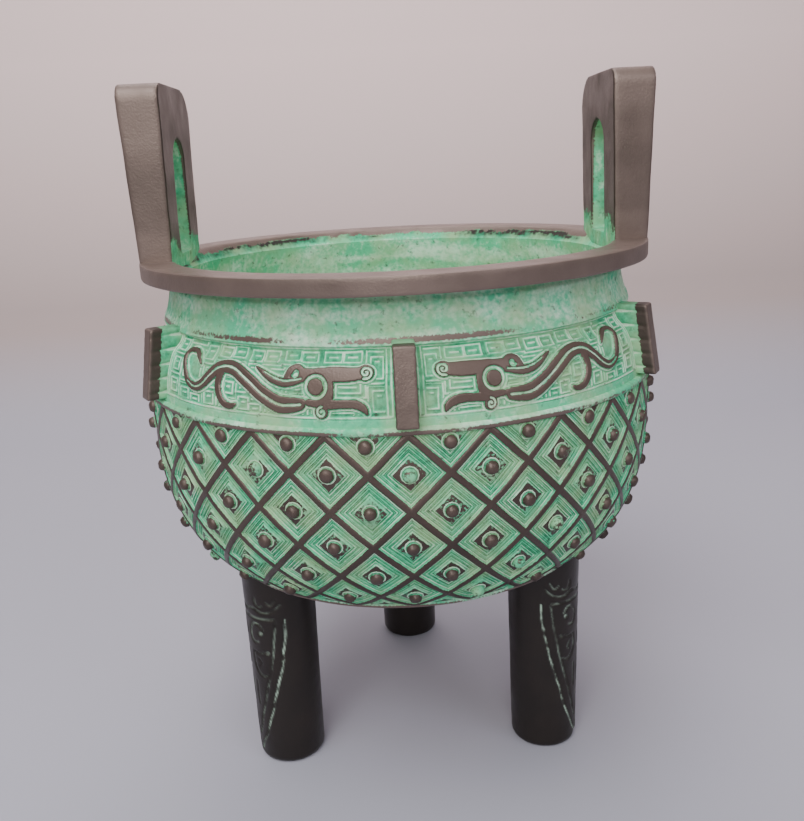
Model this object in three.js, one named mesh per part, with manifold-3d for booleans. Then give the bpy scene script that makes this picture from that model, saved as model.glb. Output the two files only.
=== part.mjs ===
// A round three-legged bronze ding with two ears, in millimetres, +Z up.
// The origin is on the ground under the middle of the bowl.
// The front is towards -Y and the ears are at +X and -X.
// A place on the bowl is an angle from the front, a distance down the skin from the rim,
// and a lift off the skin.

import * as THREE from "three";
import { mergeVertices } from "three/addons/utils/BufferGeometryUtils.js";
import Module from "manifold-3d";

const wasm = await Module();
wasm.setup();

// Rim
const RIM_RADIUS = 90;
const RIM_TOP = 189;
const RIM_THICKNESS = 5.6;
const RIM_FLAT = 11.5;
const LIP_DROP = 5;

// Bowl skin, which is the level of the ridge tops and the flat relief. Its heights hang from the rim
const NECK_RADIUS = 80;
const NECK_FOOT_RADIUS = 84.3;
const NECK_HEIGHT = 17.8;
const SHOULDER_HEIGHT = 24.5;
const BELLY_RADIUS = 91.7;
const BELLY_DEPTH = 73.4;
const BELLY_FULLNESS = 3.15;
const WALL = 4.2;

// Bands of ornament, measured down the skin from the underside of the rim
const NECK_BAND = 14.6;
const FRIEZE_BAND = 25.2;
const BORDER_WIDTH = 2;
const BORDER_LIFT = 0.4;
const BORDER_SLOPE = 0.6;
const RELIEF_DEPTH = 1.3;

// Panels, with a flange between every two and pairs of dragons that face each other
const PANELS = 6;
const LOZENGES_PER_PANEL = 4;

// Lozenge field
const LOZENGE_ROWS = 5;
const LOZENGE_HALF_HEIGHT = 11.9;
const RIDGE_HALF_WIDTH = 1.25;
const BOSS_BASE_RADIUS = 2.6;
const BOSS_TOP_RADIUS = 2;
const BOSS_LIFT = 2.2;
const BOSS_SIDES = 5;

// Flanges
const FLANGE_WIDTH = 6.5;
const FLANGE_PROUD_TOP = 10;
const FLANGE_PROUD_FOOT = 5.4;
const FLANGE_ROOT = 2.6;
const FLANGE_OVERRUN = 1.2;

// Ears
const EAR_WIDTH = 47;
const EAR_HEIGHT = 57.5;
const EAR_THICKNESS = 11.5;
const EAR_FLARE = 1;
const EAR_OUTER_FACE = 86.8;
const EAR_CORNER = 12;
const EAR_SINK = 4.4;
const WINDOW_WIDTH = 18;
const WINDOW_HEIGHT = 40;
const WINDOW_SILL = 1.5;
const WINDOW_CORNER = 8.5;

// Legs
const LEG_COUNT = 3;
const LEG_CIRCLE_RADIUS = 57;
const LEG_FOOT_RADIUS = 12.4;
const LEG_TOP_RADIUS = 13.6;
const LEG_ROOT = 22;
const FOOT_ROUNDING = 1.5;

// Fineness of the faceted surfaces
const LOZENGES = PANELS * LOZENGES_PER_PANEL;
const COLUMNS = 2 * LOZENGES;
const CAVITY_SIDES = 32;
const LEG_SIDES = 16;

const NECK_FOOT_LEVEL = RIM_TOP - RIM_THICKNESS - NECK_HEIGHT;
const BELLY_LEVEL = NECK_FOOT_LEVEL - SHOULDER_HEIGHT;
const BOTTOM_LEVEL = BELLY_LEVEL - BELLY_DEPTH;

const LOZENGE_TURN = (2 * Math.PI) / LOZENGES;
const PANEL_TURN = (2 * Math.PI) / PANELS;
const FRIEZE_END = NECK_BAND + FRIEZE_BAND;
const FIELD_TOP = FRIEZE_END + BORDER_WIDTH;
const FIELD_END = FIELD_TOP + (LOZENGE_ROWS + 1) * LOZENGE_HALF_HEIGHT;

// The bowl's skin as a line in the plane of radius and height

function skinLine() {
  const line = [new THREE.Vector2(NECK_RADIUS, RIM_TOP - RIM_THICKNESS)];
  const shoulderSteps = 24;
  for (let i = 0; i <= shoulderSteps; i += 1) {
    const turn = (i / shoulderSteps) * (Math.PI / 2);
    const radius = NECK_FOOT_RADIUS + (BELLY_RADIUS - NECK_FOOT_RADIUS) * Math.sin(turn);
    const height = BELLY_LEVEL + SHOULDER_HEIGHT * Math.cos(turn);
    line.push(new THREE.Vector2(radius, height));
  }
  const bellySteps = 120;
  for (let i = 1; i <= bellySteps; i += 1) {
    const turn = (i / bellySteps) * (Math.PI / 2);
    const c = Math.max(Math.cos(turn), 0);
    const s = Math.sin(turn);
    const scale = Math.pow(Math.pow(c, BELLY_FULLNESS) + Math.pow(s, BELLY_FULLNESS), 1 / BELLY_FULLNESS);
    const radius = (BELLY_RADIUS * c) / scale;
    const height = BELLY_LEVEL - (BELLY_DEPTH * s) / scale;
    line.push(new THREE.Vector2(Math.max(radius, 0), height));
  }
  return line;
}

const SKIN = skinLine();
const SKIN_LENGTHS = [0];
for (let i = 1; i < SKIN.length; i += 1) {
  SKIN_LENGTHS.push(SKIN_LENGTHS[i - 1] + SKIN[i].distanceTo(SKIN[i - 1]));
}
const SKIN_END = SKIN_LENGTHS[SKIN_LENGTHS.length - 1];

// The point of the skin at a distance down it, moved off it by a lift
function skinPoint(distance, lift) {
  let i = 1;
  while (i < SKIN.length - 1 && SKIN_LENGTHS[i] < distance) {
    i += 1;
  }
  const share = (distance - SKIN_LENGTHS[i - 1]) / (SKIN_LENGTHS[i] - SKIN_LENGTHS[i - 1]);
  const along = SKIN[i].clone().sub(SKIN[i - 1]).normalize();
  const point = SKIN[i - 1].clone().lerp(SKIN[i], share);
  return new THREE.Vector2(point.x - along.y * lift, point.y + along.x * lift);
}

// The distance down the skin at which it reaches a height
function skinDistanceAt(height) {
  let i = 1;
  while (i < SKIN.length - 1 && SKIN[i].y > height) {
    i += 1;
  }
  const share = (height - SKIN[i - 1].y) / (SKIN[i].y - SKIN[i - 1].y);
  return SKIN_LENGTHS[i - 1] + share * (SKIN_LENGTHS[i] - SKIN_LENGTHS[i - 1]);
}

// A point of the plane of radius and height, turned to an angle from the front
function turned(point, angle) {
  return new THREE.Vector3(point.x * Math.sin(angle), -point.x * Math.cos(angle), point.y);
}

function onBowl(angle, distance, lift) {
  return turned(skinPoint(distance, lift), angle);
}

// Closed surfaces from triangles, and solids from closed surfaces

function fan(faces, centre, ring) {
  for (let i = 0; i + 1 < ring.length; i += 1) {
    faces.push(centre, ring[i], ring[i + 1]);
  }
}

function band(faces, upper, lower) {
  for (let i = 0; i + 1 < upper.length; i += 1) {
    faces.push(upper[i], lower[i], lower[i + 1]);
    faces.push(upper[i], lower[i + 1], upper[i + 1]);
  }
}

function surfaceOf(faces) {
  const geometry = new THREE.BufferGeometry();
  geometry.setFromPoints(faces);
  return geometry;
}

function solidOf(geometry) {
  const bare = geometry.clone();
  bare.deleteAttribute("normal");
  bare.deleteAttribute("uv");
  const merged = mergeVertices(bare, 1e-3);
  const corners = [];
  const index = merged.index.array;
  for (let i = 0; i < index.length; i += 3) {
    const [a, b, c] = [index[i], index[i + 1], index[i + 2]];
    if (a !== b && b !== c && c !== a) {
      corners.push(a, b, c);
    }
  }
  const mesh = new wasm.Mesh({
    numProp: 3,
    vertProperties: new Float32Array(merged.attributes.position.array),
    triVerts: new Uint32Array(corners),
  });
  return new wasm.Manifold(mesh);
}

function geometryOf(solid) {
  const mesh = solid.getMesh();
  const geometry = new THREE.BufferGeometry();
  geometry.setAttribute("position", new THREE.BufferAttribute(new Float32Array(mesh.vertProperties), 3));
  geometry.setIndex(new THREE.BufferAttribute(new Uint32Array(mesh.triVerts), 1));
  return geometry;
}

// Rings of the turned bands

function ringAt(distance, lift) {
  const ring = [];
  for (let i = 0; i <= COLUMNS; i += 1) {
    ring.push(onBowl(((i % COLUMNS) * 2 * Math.PI) / COLUMNS, distance, lift));
  }
  return ring;
}

function plainRing(radius, height) {
  const ring = [];
  for (let i = 0; i <= COLUMNS; i += 1) {
    ring.push(turned(new THREE.Vector2(radius, height), ((i % COLUMNS) * 2 * Math.PI) / COLUMNS));
  }
  return ring;
}

// The turned surface from the middle of the top down to the foot of the frieze's border ridge
function upperBands(faces) {
  const frieze = FRIEZE_BAND - BORDER_SLOPE * 2;
  const rings = [
    plainRing(RIM_RADIUS, RIM_TOP),
    plainRing(RIM_RADIUS, RIM_TOP - RIM_THICKNESS),
    ringAt(0, 0),
    ringAt(NECK_BAND, 0),
    ringAt(NECK_BAND + BORDER_SLOPE, -RELIEF_DEPTH),
    ringAt(NECK_BAND + BORDER_SLOPE + frieze * 0.35, -RELIEF_DEPTH),
    ringAt(FRIEZE_END - BORDER_SLOPE, -RELIEF_DEPTH),
    ringAt(FRIEZE_END, BORDER_LIFT),
    ringAt(FIELD_TOP, BORDER_LIFT),
  ];
  fan(faces, new THREE.Vector3(0, 0, RIM_TOP), rings[0]);
  for (let i = 0; i + 1 < rings.length; i += 1) {
    band(faces, rings[i], rings[i + 1]);
  }
}

// The turned surface from the end of the lozenge field down to the middle of the underside
function lowerBands(faces) {
  const start = FIELD_END + BORDER_WIDTH;
  const rest = SKIN_END - start;
  const rings = [
    ringAt(FIELD_END, BORDER_LIFT),
    ringAt(start, 0),
    ringAt(start + rest * 0.22, 0),
    ringAt(start + rest * 0.55, 0),
  ];
  for (let i = 0; i + 1 < rings.length; i += 1) {
    band(faces, rings[i], rings[i + 1]);
  }
  const last = rings[rings.length - 1].slice().reverse();
  fan(faces, new THREE.Vector3(0, 0, BOTTOM_LEVEL), last);
}

// The lozenge field

function latticeRow(row) {
  const distance = FIELD_TOP + row * LOZENGE_HALF_HEIGHT;
  const halfWidth = (LOZENGE_TURN / 2) * skinPoint(distance, 0).x;
  const side = Math.hypot(halfWidth, LOZENGE_HALF_HEIGHT);
  const reach = 1 - (RIDGE_HALF_WIDTH * side) / (halfWidth * LOZENGE_HALF_HEIGHT);
  return { distance, halfWidth, reach };
}

// A point of a lozenge, from its middle in half widths across and half heights down
function inLozenge(row, angle, across, down, lift) {
  return onBowl(angle + (across * LOZENGE_TURN) / 2, row.distance + down * LOZENGE_HALF_HEIGHT, lift);
}

function bossRing(row, angle, shift, radius, lift) {
  const ring = [];
  for (let i = 0; i < BOSS_SIDES; i += 1) {
    const turn = (i / BOSS_SIDES) * 2 * Math.PI;
    const across = (radius * Math.cos(turn)) / row.halfWidth;
    const down = shift + (radius * Math.sin(turn)) / LOZENGE_HALF_HEIGHT;
    ring.push(inLozenge(row, angle, across, down, lift));
  }
  return ring;
}

// The floor around a boss, laid out flat to find its triangles
function floorAround(faces, row, angle, shift, outline) {
  const flatOutline = outline.map(([across, down]) => {
    return new THREE.Vector2(across * row.halfWidth, -down * LOZENGE_HALF_HEIGHT);
  });
  const flatHole = [];
  for (let i = 0; i < BOSS_SIDES; i += 1) {
    const turn = (i / BOSS_SIDES) * 2 * Math.PI;
    const x = BOSS_BASE_RADIUS * Math.cos(turn);
    const y = -shift * LOZENGE_HALF_HEIGHT - BOSS_BASE_RADIUS * Math.sin(turn);
    flatHole.push(new THREE.Vector2(x, y));
  }
  const corners = outline.map(([across, down]) => inLozenge(row, angle, across, down, -RELIEF_DEPTH));
  const all = corners.concat(bossRing(row, angle, shift, BOSS_BASE_RADIUS, -RELIEF_DEPTH));
  for (const [a, b, c] of THREE.ShapeUtils.triangulateShape(flatOutline, [flatHole])) {
    faces.push(all[a], all[b], all[c]);
  }
}

function boss(faces, row, angle, shift) {
  const foot = bossRing(row, angle, shift, BOSS_BASE_RADIUS, -RELIEF_DEPTH);
  const top = bossRing(row, angle, shift, BOSS_TOP_RADIUS, BOSS_LIFT);
  for (let i = 0; i < BOSS_SIDES; i += 1) {
    const j = (i + 1) % BOSS_SIDES;
    faces.push(foot[j], foot[i], top[i]);
    faces.push(foot[j], top[i], top[j]);
  }
  for (let i = 1; i + 1 < BOSS_SIDES; i += 1) {
    faces.push(top[0], top[i + 1], top[i]);
  }
}

function fullLozenge(faces, rowNumber, angle) {
  const row = latticeRow(rowNumber);
  const corners = [[-1, 0], [0, 1], [1, 0], [0, -1]];
  const outline = corners.map(([across, down]) => [across * row.reach, down * row.reach]);
  const crest = corners.map(([across, down]) => inLozenge(row, angle, across, down, 0));
  const foot = outline.map(([across, down]) => inLozenge(row, angle, across, down, -RELIEF_DEPTH));
  for (let i = 0; i < 4; i += 1) {
    const j = (i + 1) % 4;
    faces.push(crest[i], crest[j], foot[j]);
    faces.push(crest[i], foot[j], foot[i]);
  }
  floorAround(faces, row, angle, 0, outline);
  boss(faces, row, angle, 0);
}

// The lower half of a lozenge, with its boss close under the border ridge
function cutLozengeAtTop(faces, angle) {
  const row = latticeRow(0);
  const crestLeft = inLozenge(row, angle, -1, 0, 0);
  const crestFoot = inLozenge(row, angle, 0, 1, 0);
  const crestRight = inLozenge(row, angle, 1, 0, 0);
  const left = inLozenge(row, angle, -row.reach, 0, -RELIEF_DEPTH);
  const foot = inLozenge(row, angle, 0, row.reach, -RELIEF_DEPTH);
  const right = inLozenge(row, angle, row.reach, 0, -RELIEF_DEPTH);
  const middle = inLozenge(row, angle, 0, 0, -RELIEF_DEPTH);
  faces.push(crestLeft, crestFoot, foot, crestLeft, foot, left);
  faces.push(crestFoot, crestRight, right, crestFoot, right, foot);
  const shift = (BOSS_BASE_RADIUS + BORDER_SLOPE) / LOZENGE_HALF_HEIGHT;
  floorAround(faces, row, angle, shift, [[-row.reach, 0], [0, row.reach], [row.reach, 0], [0, 0]]);
  boss(faces, row, angle, shift);
  const borderLeft = inLozenge(row, angle, -1, 0, BORDER_LIFT);
  const borderMiddle = inLozenge(row, angle, 0, 0, BORDER_LIFT);
  const borderRight = inLozenge(row, angle, 1, 0, BORDER_LIFT);
  faces.push(borderLeft, crestLeft, left, borderLeft, left, middle);
  faces.push(borderLeft, middle, borderMiddle, borderMiddle, middle, borderRight);
  faces.push(borderRight, middle, right, borderRight, right, crestRight);
}

// The upper half of a lozenge, plain, over the edge of the underside
function cutLozengeAtFoot(faces, angle) {
  const row = latticeRow(LOZENGE_ROWS + 1);
  const crestLeft = inLozenge(row, angle, -1, 0, 0);
  const crestTop = inLozenge(row, angle, 0, -1, 0);
  const crestRight = inLozenge(row, angle, 1, 0, 0);
  const left = inLozenge(row, angle, -row.reach, 0, -RELIEF_DEPTH);
  const top = inLozenge(row, angle, 0, -row.reach, -RELIEF_DEPTH);
  const right = inLozenge(row, angle, row.reach, 0, -RELIEF_DEPTH);
  const middle = inLozenge(row, angle, 0, 0, -RELIEF_DEPTH);
  faces.push(crestTop, crestLeft, left, crestTop, left, top);
  faces.push(crestRight, crestTop, top, crestRight, top, right);
  faces.push(top, left, middle, top, middle, right);
  const borderLeft = inLozenge(row, angle, -1, 0, BORDER_LIFT);
  const borderMiddle = inLozenge(row, angle, 0, 0, BORDER_LIFT);
  const borderRight = inLozenge(row, angle, 1, 0, BORDER_LIFT);
  faces.push(borderLeft, left, crestLeft, borderLeft, middle, left);
  faces.push(borderLeft, borderMiddle, middle, borderMiddle, borderRight, middle);
  faces.push(borderRight, right, middle, borderRight, crestRight, right);
}

function lozengeField(faces) {
  for (let column = 0; column < LOZENGES; column += 1) {
    cutLozengeAtTop(faces, (column + 0.5) * LOZENGE_TURN);
    for (let row = 1; row <= LOZENGE_ROWS; row += 1) {
      const offset = row % 2 === 0 ? 0.5 : 0;
      fullLozenge(faces, row, (column + offset) * LOZENGE_TURN);
    }
    const lastOffset = LOZENGE_ROWS % 2 === 0 ? 0 : 0.5;
    cutLozengeAtFoot(faces, (column + lastOffset) * LOZENGE_TURN);
  }
}

function bowlBlank() {
  const faces = [];
  upperBands(faces);
  lozengeField(faces);
  lowerBands(faces);
  return solidOf(surfaceOf(faces));
}

// The hollow of the bowl, with the sloping lip inside the rim

function bowlHollow() {
  const depth = -(WALL + RELIEF_DEPTH);
  const neckFoot = SKIN_LENGTHS[1];
  const shares = [0.16, 0.3, 0.4, 0.48, 0.55, 0.63, 0.8];
  const distances = [0, neckFoot].concat(shares.map((share) => share * SKIN_END));
  const profile = distances.map((distance) => skinPoint(distance, depth));
  profile[0].y = RIM_TOP - LIP_DROP;
  const top = [
    new THREE.Vector2(0, RIM_TOP + LIP_DROP),
    new THREE.Vector2(RIM_RADIUS - RIM_FLAT, RIM_TOP + LIP_DROP),
    new THREE.Vector2(RIM_RADIUS - RIM_FLAT, RIM_TOP),
  ];
  const floor = new THREE.Vector2(0, BOTTOM_LEVEL - depth);
  const line = top.concat(profile, [floor]).reverse();
  return latheSolid(line, CAVITY_SIDES);
}

function latheSolid(line, sides) {
  const geometry = new THREE.LatheGeometry(line, sides);
  geometry.rotateX(Math.PI / 2);
  return solidOf(geometry);
}

// A flange: an upright slab that stands out from the bowl

function flange(angle) {
  const top = skinPoint(NECK_BAND - FLANGE_OVERRUN, 0);
  const foot = skinPoint(FRIEZE_END - FLANGE_OVERRUN, 0);
  const height = top.y - foot.y;
  const half = FLANGE_WIDTH / 2;
  const outline = new THREE.Shape([
    new THREE.Vector2(-half, foot.y),
    new THREE.Vector2(half, foot.y),
    new THREE.Vector2(half, top.y),
    new THREE.Vector2(-half, top.y),
  ]);
  const geometry = new THREE.ExtrudeGeometry(outline, { depth: 1, bevelEnabled: false });
  const position = geometry.attributes.position;
  for (let i = 0; i < position.count; i += 1) {
    const across = position.getX(i);
    const level = position.getY(i);
    const skin = skinPoint(skinDistanceAt(level), 0).x;
    const share = (top.y - level) / height;
    const proud = FLANGE_PROUD_TOP + (FLANGE_PROUD_FOOT - FLANGE_PROUD_TOP) * share;
    const radius = position.getZ(i) > 0.5 ? skin + proud : skin - FLANGE_ROOT;
    position.setXYZ(i, across, -radius, level);
  }
  return solidOf(geometry.rotateZ(angle));
}

// The dragons. Their places are millimetres along from the flange that they face
// and down from the top of the frieze

const DRAGON_BODY = {
  line: [
    [30, 14.5], [38, 17.4], [46, 14], [53, 8.4], [60, 6.2],
    [66, 10], [73, 15.2], [79.6, 13], [80.6, 8], [76.5, 4.8],
  ],
  widths: [4.4, 5, 4.8, 4.4, 4, 3.2, 2.4, 2, 1.9, 1.4],
  steps: 12,
  lift: 0,
};
const DRAGON_CLAW = {
  line: [[55, 9.8], [61.5, 12.6], [61.6, 18.4], [56.6, 19.4]],
  widths: [2.4, 2.4, 2.2, 1.5],
  steps: 4,
  lift: 0.15,
};
const DRAGON_CREST = {
  line: [[33, 8.8], [37.5, 11.4], [43, 10.2], [48, 6.8]],
  widths: [3.8, 3, 2.6, 1.4],
  steps: 3,
  lift: 0.15,
};
const DRAGON_JAWS = {
  line: [[11.5, 9.2], [25, 9.6], [29.4, 13.4], [25, 17.2], [14, 20]],
  widths: [3.2, 3.4, 4.6, 3.6, 2.2],
  steps: 6,
  lift: 0.3,
};
const DRAGON_EYE = { at: [26, 10.8], radius: 3.6, sides: 7, lift: 0.6 };

// A place in a panel on the skin. The side is 1 to the right of the flange and -1 to its left
function inPanel(angle, side, along, down, lift) {
  return onBowl(angle + (side * along) / BELLY_RADIUS, NECK_BAND + down, lift);
}

function prism(outlineAt, sides, lift) {
  const faces = [];
  const top = outlineAt(lift);
  const root = outlineAt(-2 * RELIEF_DEPTH);
  for (let i = 0; i < sides; i += 1) {
    const j = (i + 1) % sides;
    faces.push(root[j], root[i], top[i], root[j], top[i], top[j]);
  }
  return { faces, top, root };
}

function flipped(faces) {
  const result = [];
  for (let i = 0; i < faces.length; i += 3) {
    result.push(faces[i], faces[i + 2], faces[i + 1]);
  }
  return result;
}

function relief(faces, side) {
  return solidOf(surfaceOf(side > 0 ? faces : flipped(faces)));
}

function raisedRound(angle, side, round) {
  const outlineAt = (lift) => {
    const ring = [];
    for (let i = 0; i < round.sides; i += 1) {
      const turn = (i / round.sides) * 2 * Math.PI;
      const along = round.at[0] + round.radius * Math.cos(turn);
      const down = round.at[1] + round.radius * Math.sin(turn);
      ring.push(inPanel(angle, side, along, down, lift));
    }
    return ring;
  };
  const { faces, top, root } = prism(outlineAt, round.sides, round.lift);
  for (let i = 1; i + 1 < round.sides; i += 1) {
    faces.push(top[0], top[i + 1], top[i], root[0], root[i], root[i + 1]);
  }
  return relief(faces, side);
}

// A band of changing width along a smooth line
function raisedBand(angle, side, stroke) {
  const curve = new THREE.SplineCurve(stroke.line.map(([along, down]) => new THREE.Vector2(along, down)));
  const last = stroke.widths.length - 1;
  const edges = [[], []];
  for (let i = 0; i <= stroke.steps; i += 1) {
    const share = i / stroke.steps;
    const point = curve.getPoint(share);
    const run = curve.getTangent(share);
    const place = Math.min(Math.floor(share * last), last - 1);
    const [from, to] = [stroke.widths[place], stroke.widths[place + 1]];
    const half = THREE.MathUtils.lerp(from, to, share * last - place) / 2;
    edges[0].push([point.x - run.y * half, point.y + run.x * half]);
    edges[1].push([point.x + run.y * half, point.y - run.x * half]);
  }
  const outline = edges[1].concat(edges[0].slice().reverse());
  const outlineAt = (lift) => outline.map(([along, down]) => inPanel(angle, side, along, down, lift));
  const { faces, top, root } = prism(outlineAt, outline.length, stroke.lift);
  for (let i = 0; i < stroke.steps; i += 1) {
    const j = outline.length - 1 - i;
    faces.push(top[i], top[j], top[i + 1], top[i + 1], top[j], top[j - 1]);
    faces.push(root[i], root[i + 1], root[j], root[i + 1], root[j - 1], root[j]);
  }
  return relief(faces, side);
}

function dragon(angle, side) {
  const strokes = [DRAGON_BODY, DRAGON_CLAW, DRAGON_CREST, DRAGON_JAWS];
  const bands = strokes.map((stroke) => raisedBand(angle, side, stroke));
  return bands.concat(raisedRound(angle, side, DRAGON_EYE));
}

// An ear: an upright slab with rounded top corners and a window through it

function earOutline() {
  const half = EAR_WIDTH / 2;
  const top = EAR_HEIGHT - EAR_CORNER;
  const outline = new THREE.Shape();
  outline.moveTo(-half, -EAR_SINK);
  outline.lineTo(half, -EAR_SINK);
  outline.lineTo(half, top);
  outline.absarc(half - EAR_CORNER, top, EAR_CORNER, 0, Math.PI / 2, false);
  outline.lineTo(EAR_CORNER - half, EAR_HEIGHT);
  outline.absarc(EAR_CORNER - half, top, EAR_CORNER, Math.PI / 2, Math.PI, false);
  outline.closePath();
  const halfWindow = WINDOW_WIDTH / 2;
  const arch = WINDOW_HEIGHT - WINDOW_CORNER;
  const hole = new THREE.Path();
  hole.moveTo(-halfWindow, WINDOW_SILL);
  hole.lineTo(-halfWindow, arch);
  hole.absarc(WINDOW_CORNER - halfWindow, arch, WINDOW_CORNER, Math.PI, Math.PI / 2, true);
  hole.absarc(halfWindow - WINDOW_CORNER, arch, WINDOW_CORNER, Math.PI / 2, 0, true);
  hole.lineTo(halfWindow, WINDOW_SILL);
  hole.closePath();
  outline.holes.push(hole);
  return outline;
}

function ear(angle) {
  const settings = { depth: EAR_THICKNESS, bevelEnabled: false, curveSegments: 5 };
  const geometry = new THREE.ExtrudeGeometry(earOutline(), settings);
  const position = geometry.attributes.position;
  for (let i = 0; i < position.count; i += 1) {
    const share = Math.max(position.getY(i), 0) / EAR_HEIGHT;
    const outer = position.getZ(i) > EAR_THICKNESS / 2;
    const flare = EAR_FLARE * share * (outer ? 1 : -1);
    position.setZ(i, position.getZ(i) + flare);
  }
  const upright = new THREE.Matrix4().makeBasis(
    new THREE.Vector3(0, 1, 0),
    new THREE.Vector3(0, 0, 1),
    new THREE.Vector3(1, 0, 0),
  );
  geometry.applyMatrix4(upright);
  geometry.translate(EAR_OUTER_FACE - EAR_THICKNESS, 0, RIM_TOP);
  return solidOf(geometry.rotateZ(angle));
}

// A leg: a round post with a softened foot, running up into the bowl's wall

function leg(angle) {
  const top = skinPoint(SKIN_END - LEG_CIRCLE_RADIUS, 0).y + LEG_ROOT;
  const line = [
    new THREE.Vector2(0, 0),
    new THREE.Vector2(LEG_FOOT_RADIUS - FOOT_ROUNDING, 0),
    new THREE.Vector2(LEG_FOOT_RADIUS, FOOT_ROUNDING),
    new THREE.Vector2(LEG_TOP_RADIUS, top),
    new THREE.Vector2(0, top),
  ];
  const geometry = new THREE.LatheGeometry(line, LEG_SIDES);
  geometry.rotateX(Math.PI / 2);
  geometry.translate(0, -LEG_CIRCLE_RADIUS, 0);
  return solidOf(geometry.rotateZ(angle));
}

function vessel() {
  const pieces = [bowlBlank()];
  for (let i = 0; i < PANELS; i += 1) {
    const angle = i * PANEL_TURN;
    pieces.push(flange(angle));
    if (i % 2 === 0) {
      pieces.push(...dragon(angle, 1), ...dragon(angle, -1));
    }
  }
  for (let i = 0; i < LEG_COUNT; i += 1) {
    pieces.push(leg(Math.PI + (i * 2 * Math.PI) / LEG_COUNT));
  }
  const casting = wasm.Manifold.union(pieces).subtract(bowlHollow());
  return casting.add(ear(0)).add(ear(Math.PI));
}

const bronze = new THREE.MeshStandardMaterial({ color: 0x5f8f78, roughness: 0.6, metalness: 0.5 });

const group = new THREE.Group();
const mesh = new THREE.Mesh(geometryOf(vessel()), bronze);
mesh.name = "ding_vessel";
group.add(mesh);

export default group;
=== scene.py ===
# The looks of a round three-legged bronze ding with two ears, in metres, +Z up, front towards -Y.
# A place on the bowl is an angle from the front, a distance down the skin from the underside of the rim,
# and a lift off the skin.

import math

import bpy
import numpy as np
from mathutils import Matrix, Vector, noise


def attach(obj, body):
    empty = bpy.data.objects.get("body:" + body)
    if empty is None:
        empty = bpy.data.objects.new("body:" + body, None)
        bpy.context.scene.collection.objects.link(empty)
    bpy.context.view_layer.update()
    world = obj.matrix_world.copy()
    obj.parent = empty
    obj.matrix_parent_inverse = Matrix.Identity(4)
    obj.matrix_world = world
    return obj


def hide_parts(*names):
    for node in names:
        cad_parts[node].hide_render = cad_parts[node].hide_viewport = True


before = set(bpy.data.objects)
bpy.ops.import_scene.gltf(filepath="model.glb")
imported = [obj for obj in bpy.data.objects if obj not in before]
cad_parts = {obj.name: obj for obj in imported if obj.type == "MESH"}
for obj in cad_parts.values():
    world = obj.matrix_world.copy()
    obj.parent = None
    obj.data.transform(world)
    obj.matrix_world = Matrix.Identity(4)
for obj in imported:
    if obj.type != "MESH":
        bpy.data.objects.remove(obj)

bl_info = {
    "name": "Bronze Ding Vessel",
    "version": (1, 0, 0),
    "blender": (4, 5, 0),
    "location": "3D View > Sidebar > Ding",
    "description": "Models a patinated bronze ding with kui dragons, lozenges and bosses",
    "category": "Add Mesh",
}

MM = 0.001
NODE = "ding_vessel"
BODY = "root"

# Corners nearer than this are one corner
MERGE = 0.01 * MM
# The pieces of relief end at this level, in the thickness of the wall behind the skin
BACK = -3 * MM
FLANGES = 6
FIELD_ROWS = 6
FIELD_COLUMNS = 24


def linear(hex_colour):
    """The linear colour of an sRGB hex value."""
    channels = [int(hex_colour[i : i + 2], 16) / 255 for i in (1, 3, 5)]
    return tuple(c / 12.92 if c <= 0.04045 else ((c + 0.055) / 1.055) ** 2.4 for c in channels)


def length(name, millimetres, description):
    return bpy.props.FloatProperty(
        name=name,
        description=description,
        default=millimetres * MM,
        min=0,
        precision=5,
        subtype="DISTANCE",
        unit="LENGTH",
    )


def colour(name, hex_colour, description):
    return bpy.props.FloatVectorProperty(
        name=name, description=description, default=linear(hex_colour), min=0, max=1, size=3, subtype="COLOR"
    )


class DingBowlSizes(bpy.types.PropertyGroup):
    rim_radius: length("Rim radius", 90, "Outer radius of the flat rim")
    rim_top: length("Rim top", 189, "Height of the rim's top face")
    rim_thickness: length("Rim thickness", 5.6, "Height of the rim's outer face")
    rim_flat: length("Rim flat", 11.5, "Width of the rim's flat top")
    lip_drop: length("Lip drop", 5, "How far the lip slopes down inside the rim")
    neck_radius: length("Neck radius", 80, "Radius of the neck under the rim")
    neck_foot_radius: length("Neck foot radius", 84.3, "Radius where the neck meets the shoulder")
    neck_height: length("Neck height", 17.8, "Height of the neck under the rim")
    shoulder_height: length("Shoulder height", 24.5, "Height from the widest part up to the neck")
    belly_radius: length("Belly radius", 91.7, "Radius of the widest part")
    belly_depth: length("Belly depth", 73.4, "Height of the widest part over the underside")
    belly_fullness: bpy.props.FloatProperty(
        name="Belly fullness", description="Exponent of its curve, 2 for an ellipse", default=3.15, min=2
    )
    wall: length("Wall", 5.5, "Thickness of the wall behind the raised relief")
    neck_band: length("Neck band", 14.6, "Distance from the rim down to the frieze")
    frieze_band: length("Frieze band", 25.2, "Height of the dragon frieze along the skin")
    border_width: length("Border width", 2, "Width of the ridge under the frieze")
    border_lift: length("Border lift", 0.4, "How far the border ridge stands off the skin")
    relief_depth: length("Relief depth", 1.3, "Depth of the ground under the raised relief")


class DingOrnamentSizes(bpy.types.PropertyGroup):
    lozenge_half_height: length("Lozenge half height", 11.9, "Half the height of a lozenge along the skin")
    boss_radius: length("Boss radius", 2.2, "Radius of a boss")
    boss_lift: length("Boss lift", 2.1, "How far a boss stands off the skin")
    flange_width: length("Flange width", 6.5, "Width of a flange")
    flange_proud_top: length("Flange proud at top", 10, "How far a flange stands off the skin at its top")
    flange_proud_foot: length("Flange proud at foot", 5.4, "How far a flange stands off the skin at its foot")
    flange_notch: length("Flange notch", 0.9, "Depth of the grooves in a flange's sides")
    thread_pitch: length("Thread pitch", 1.45, "Spacing of the spiral threads in the ground of the frieze")


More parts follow.
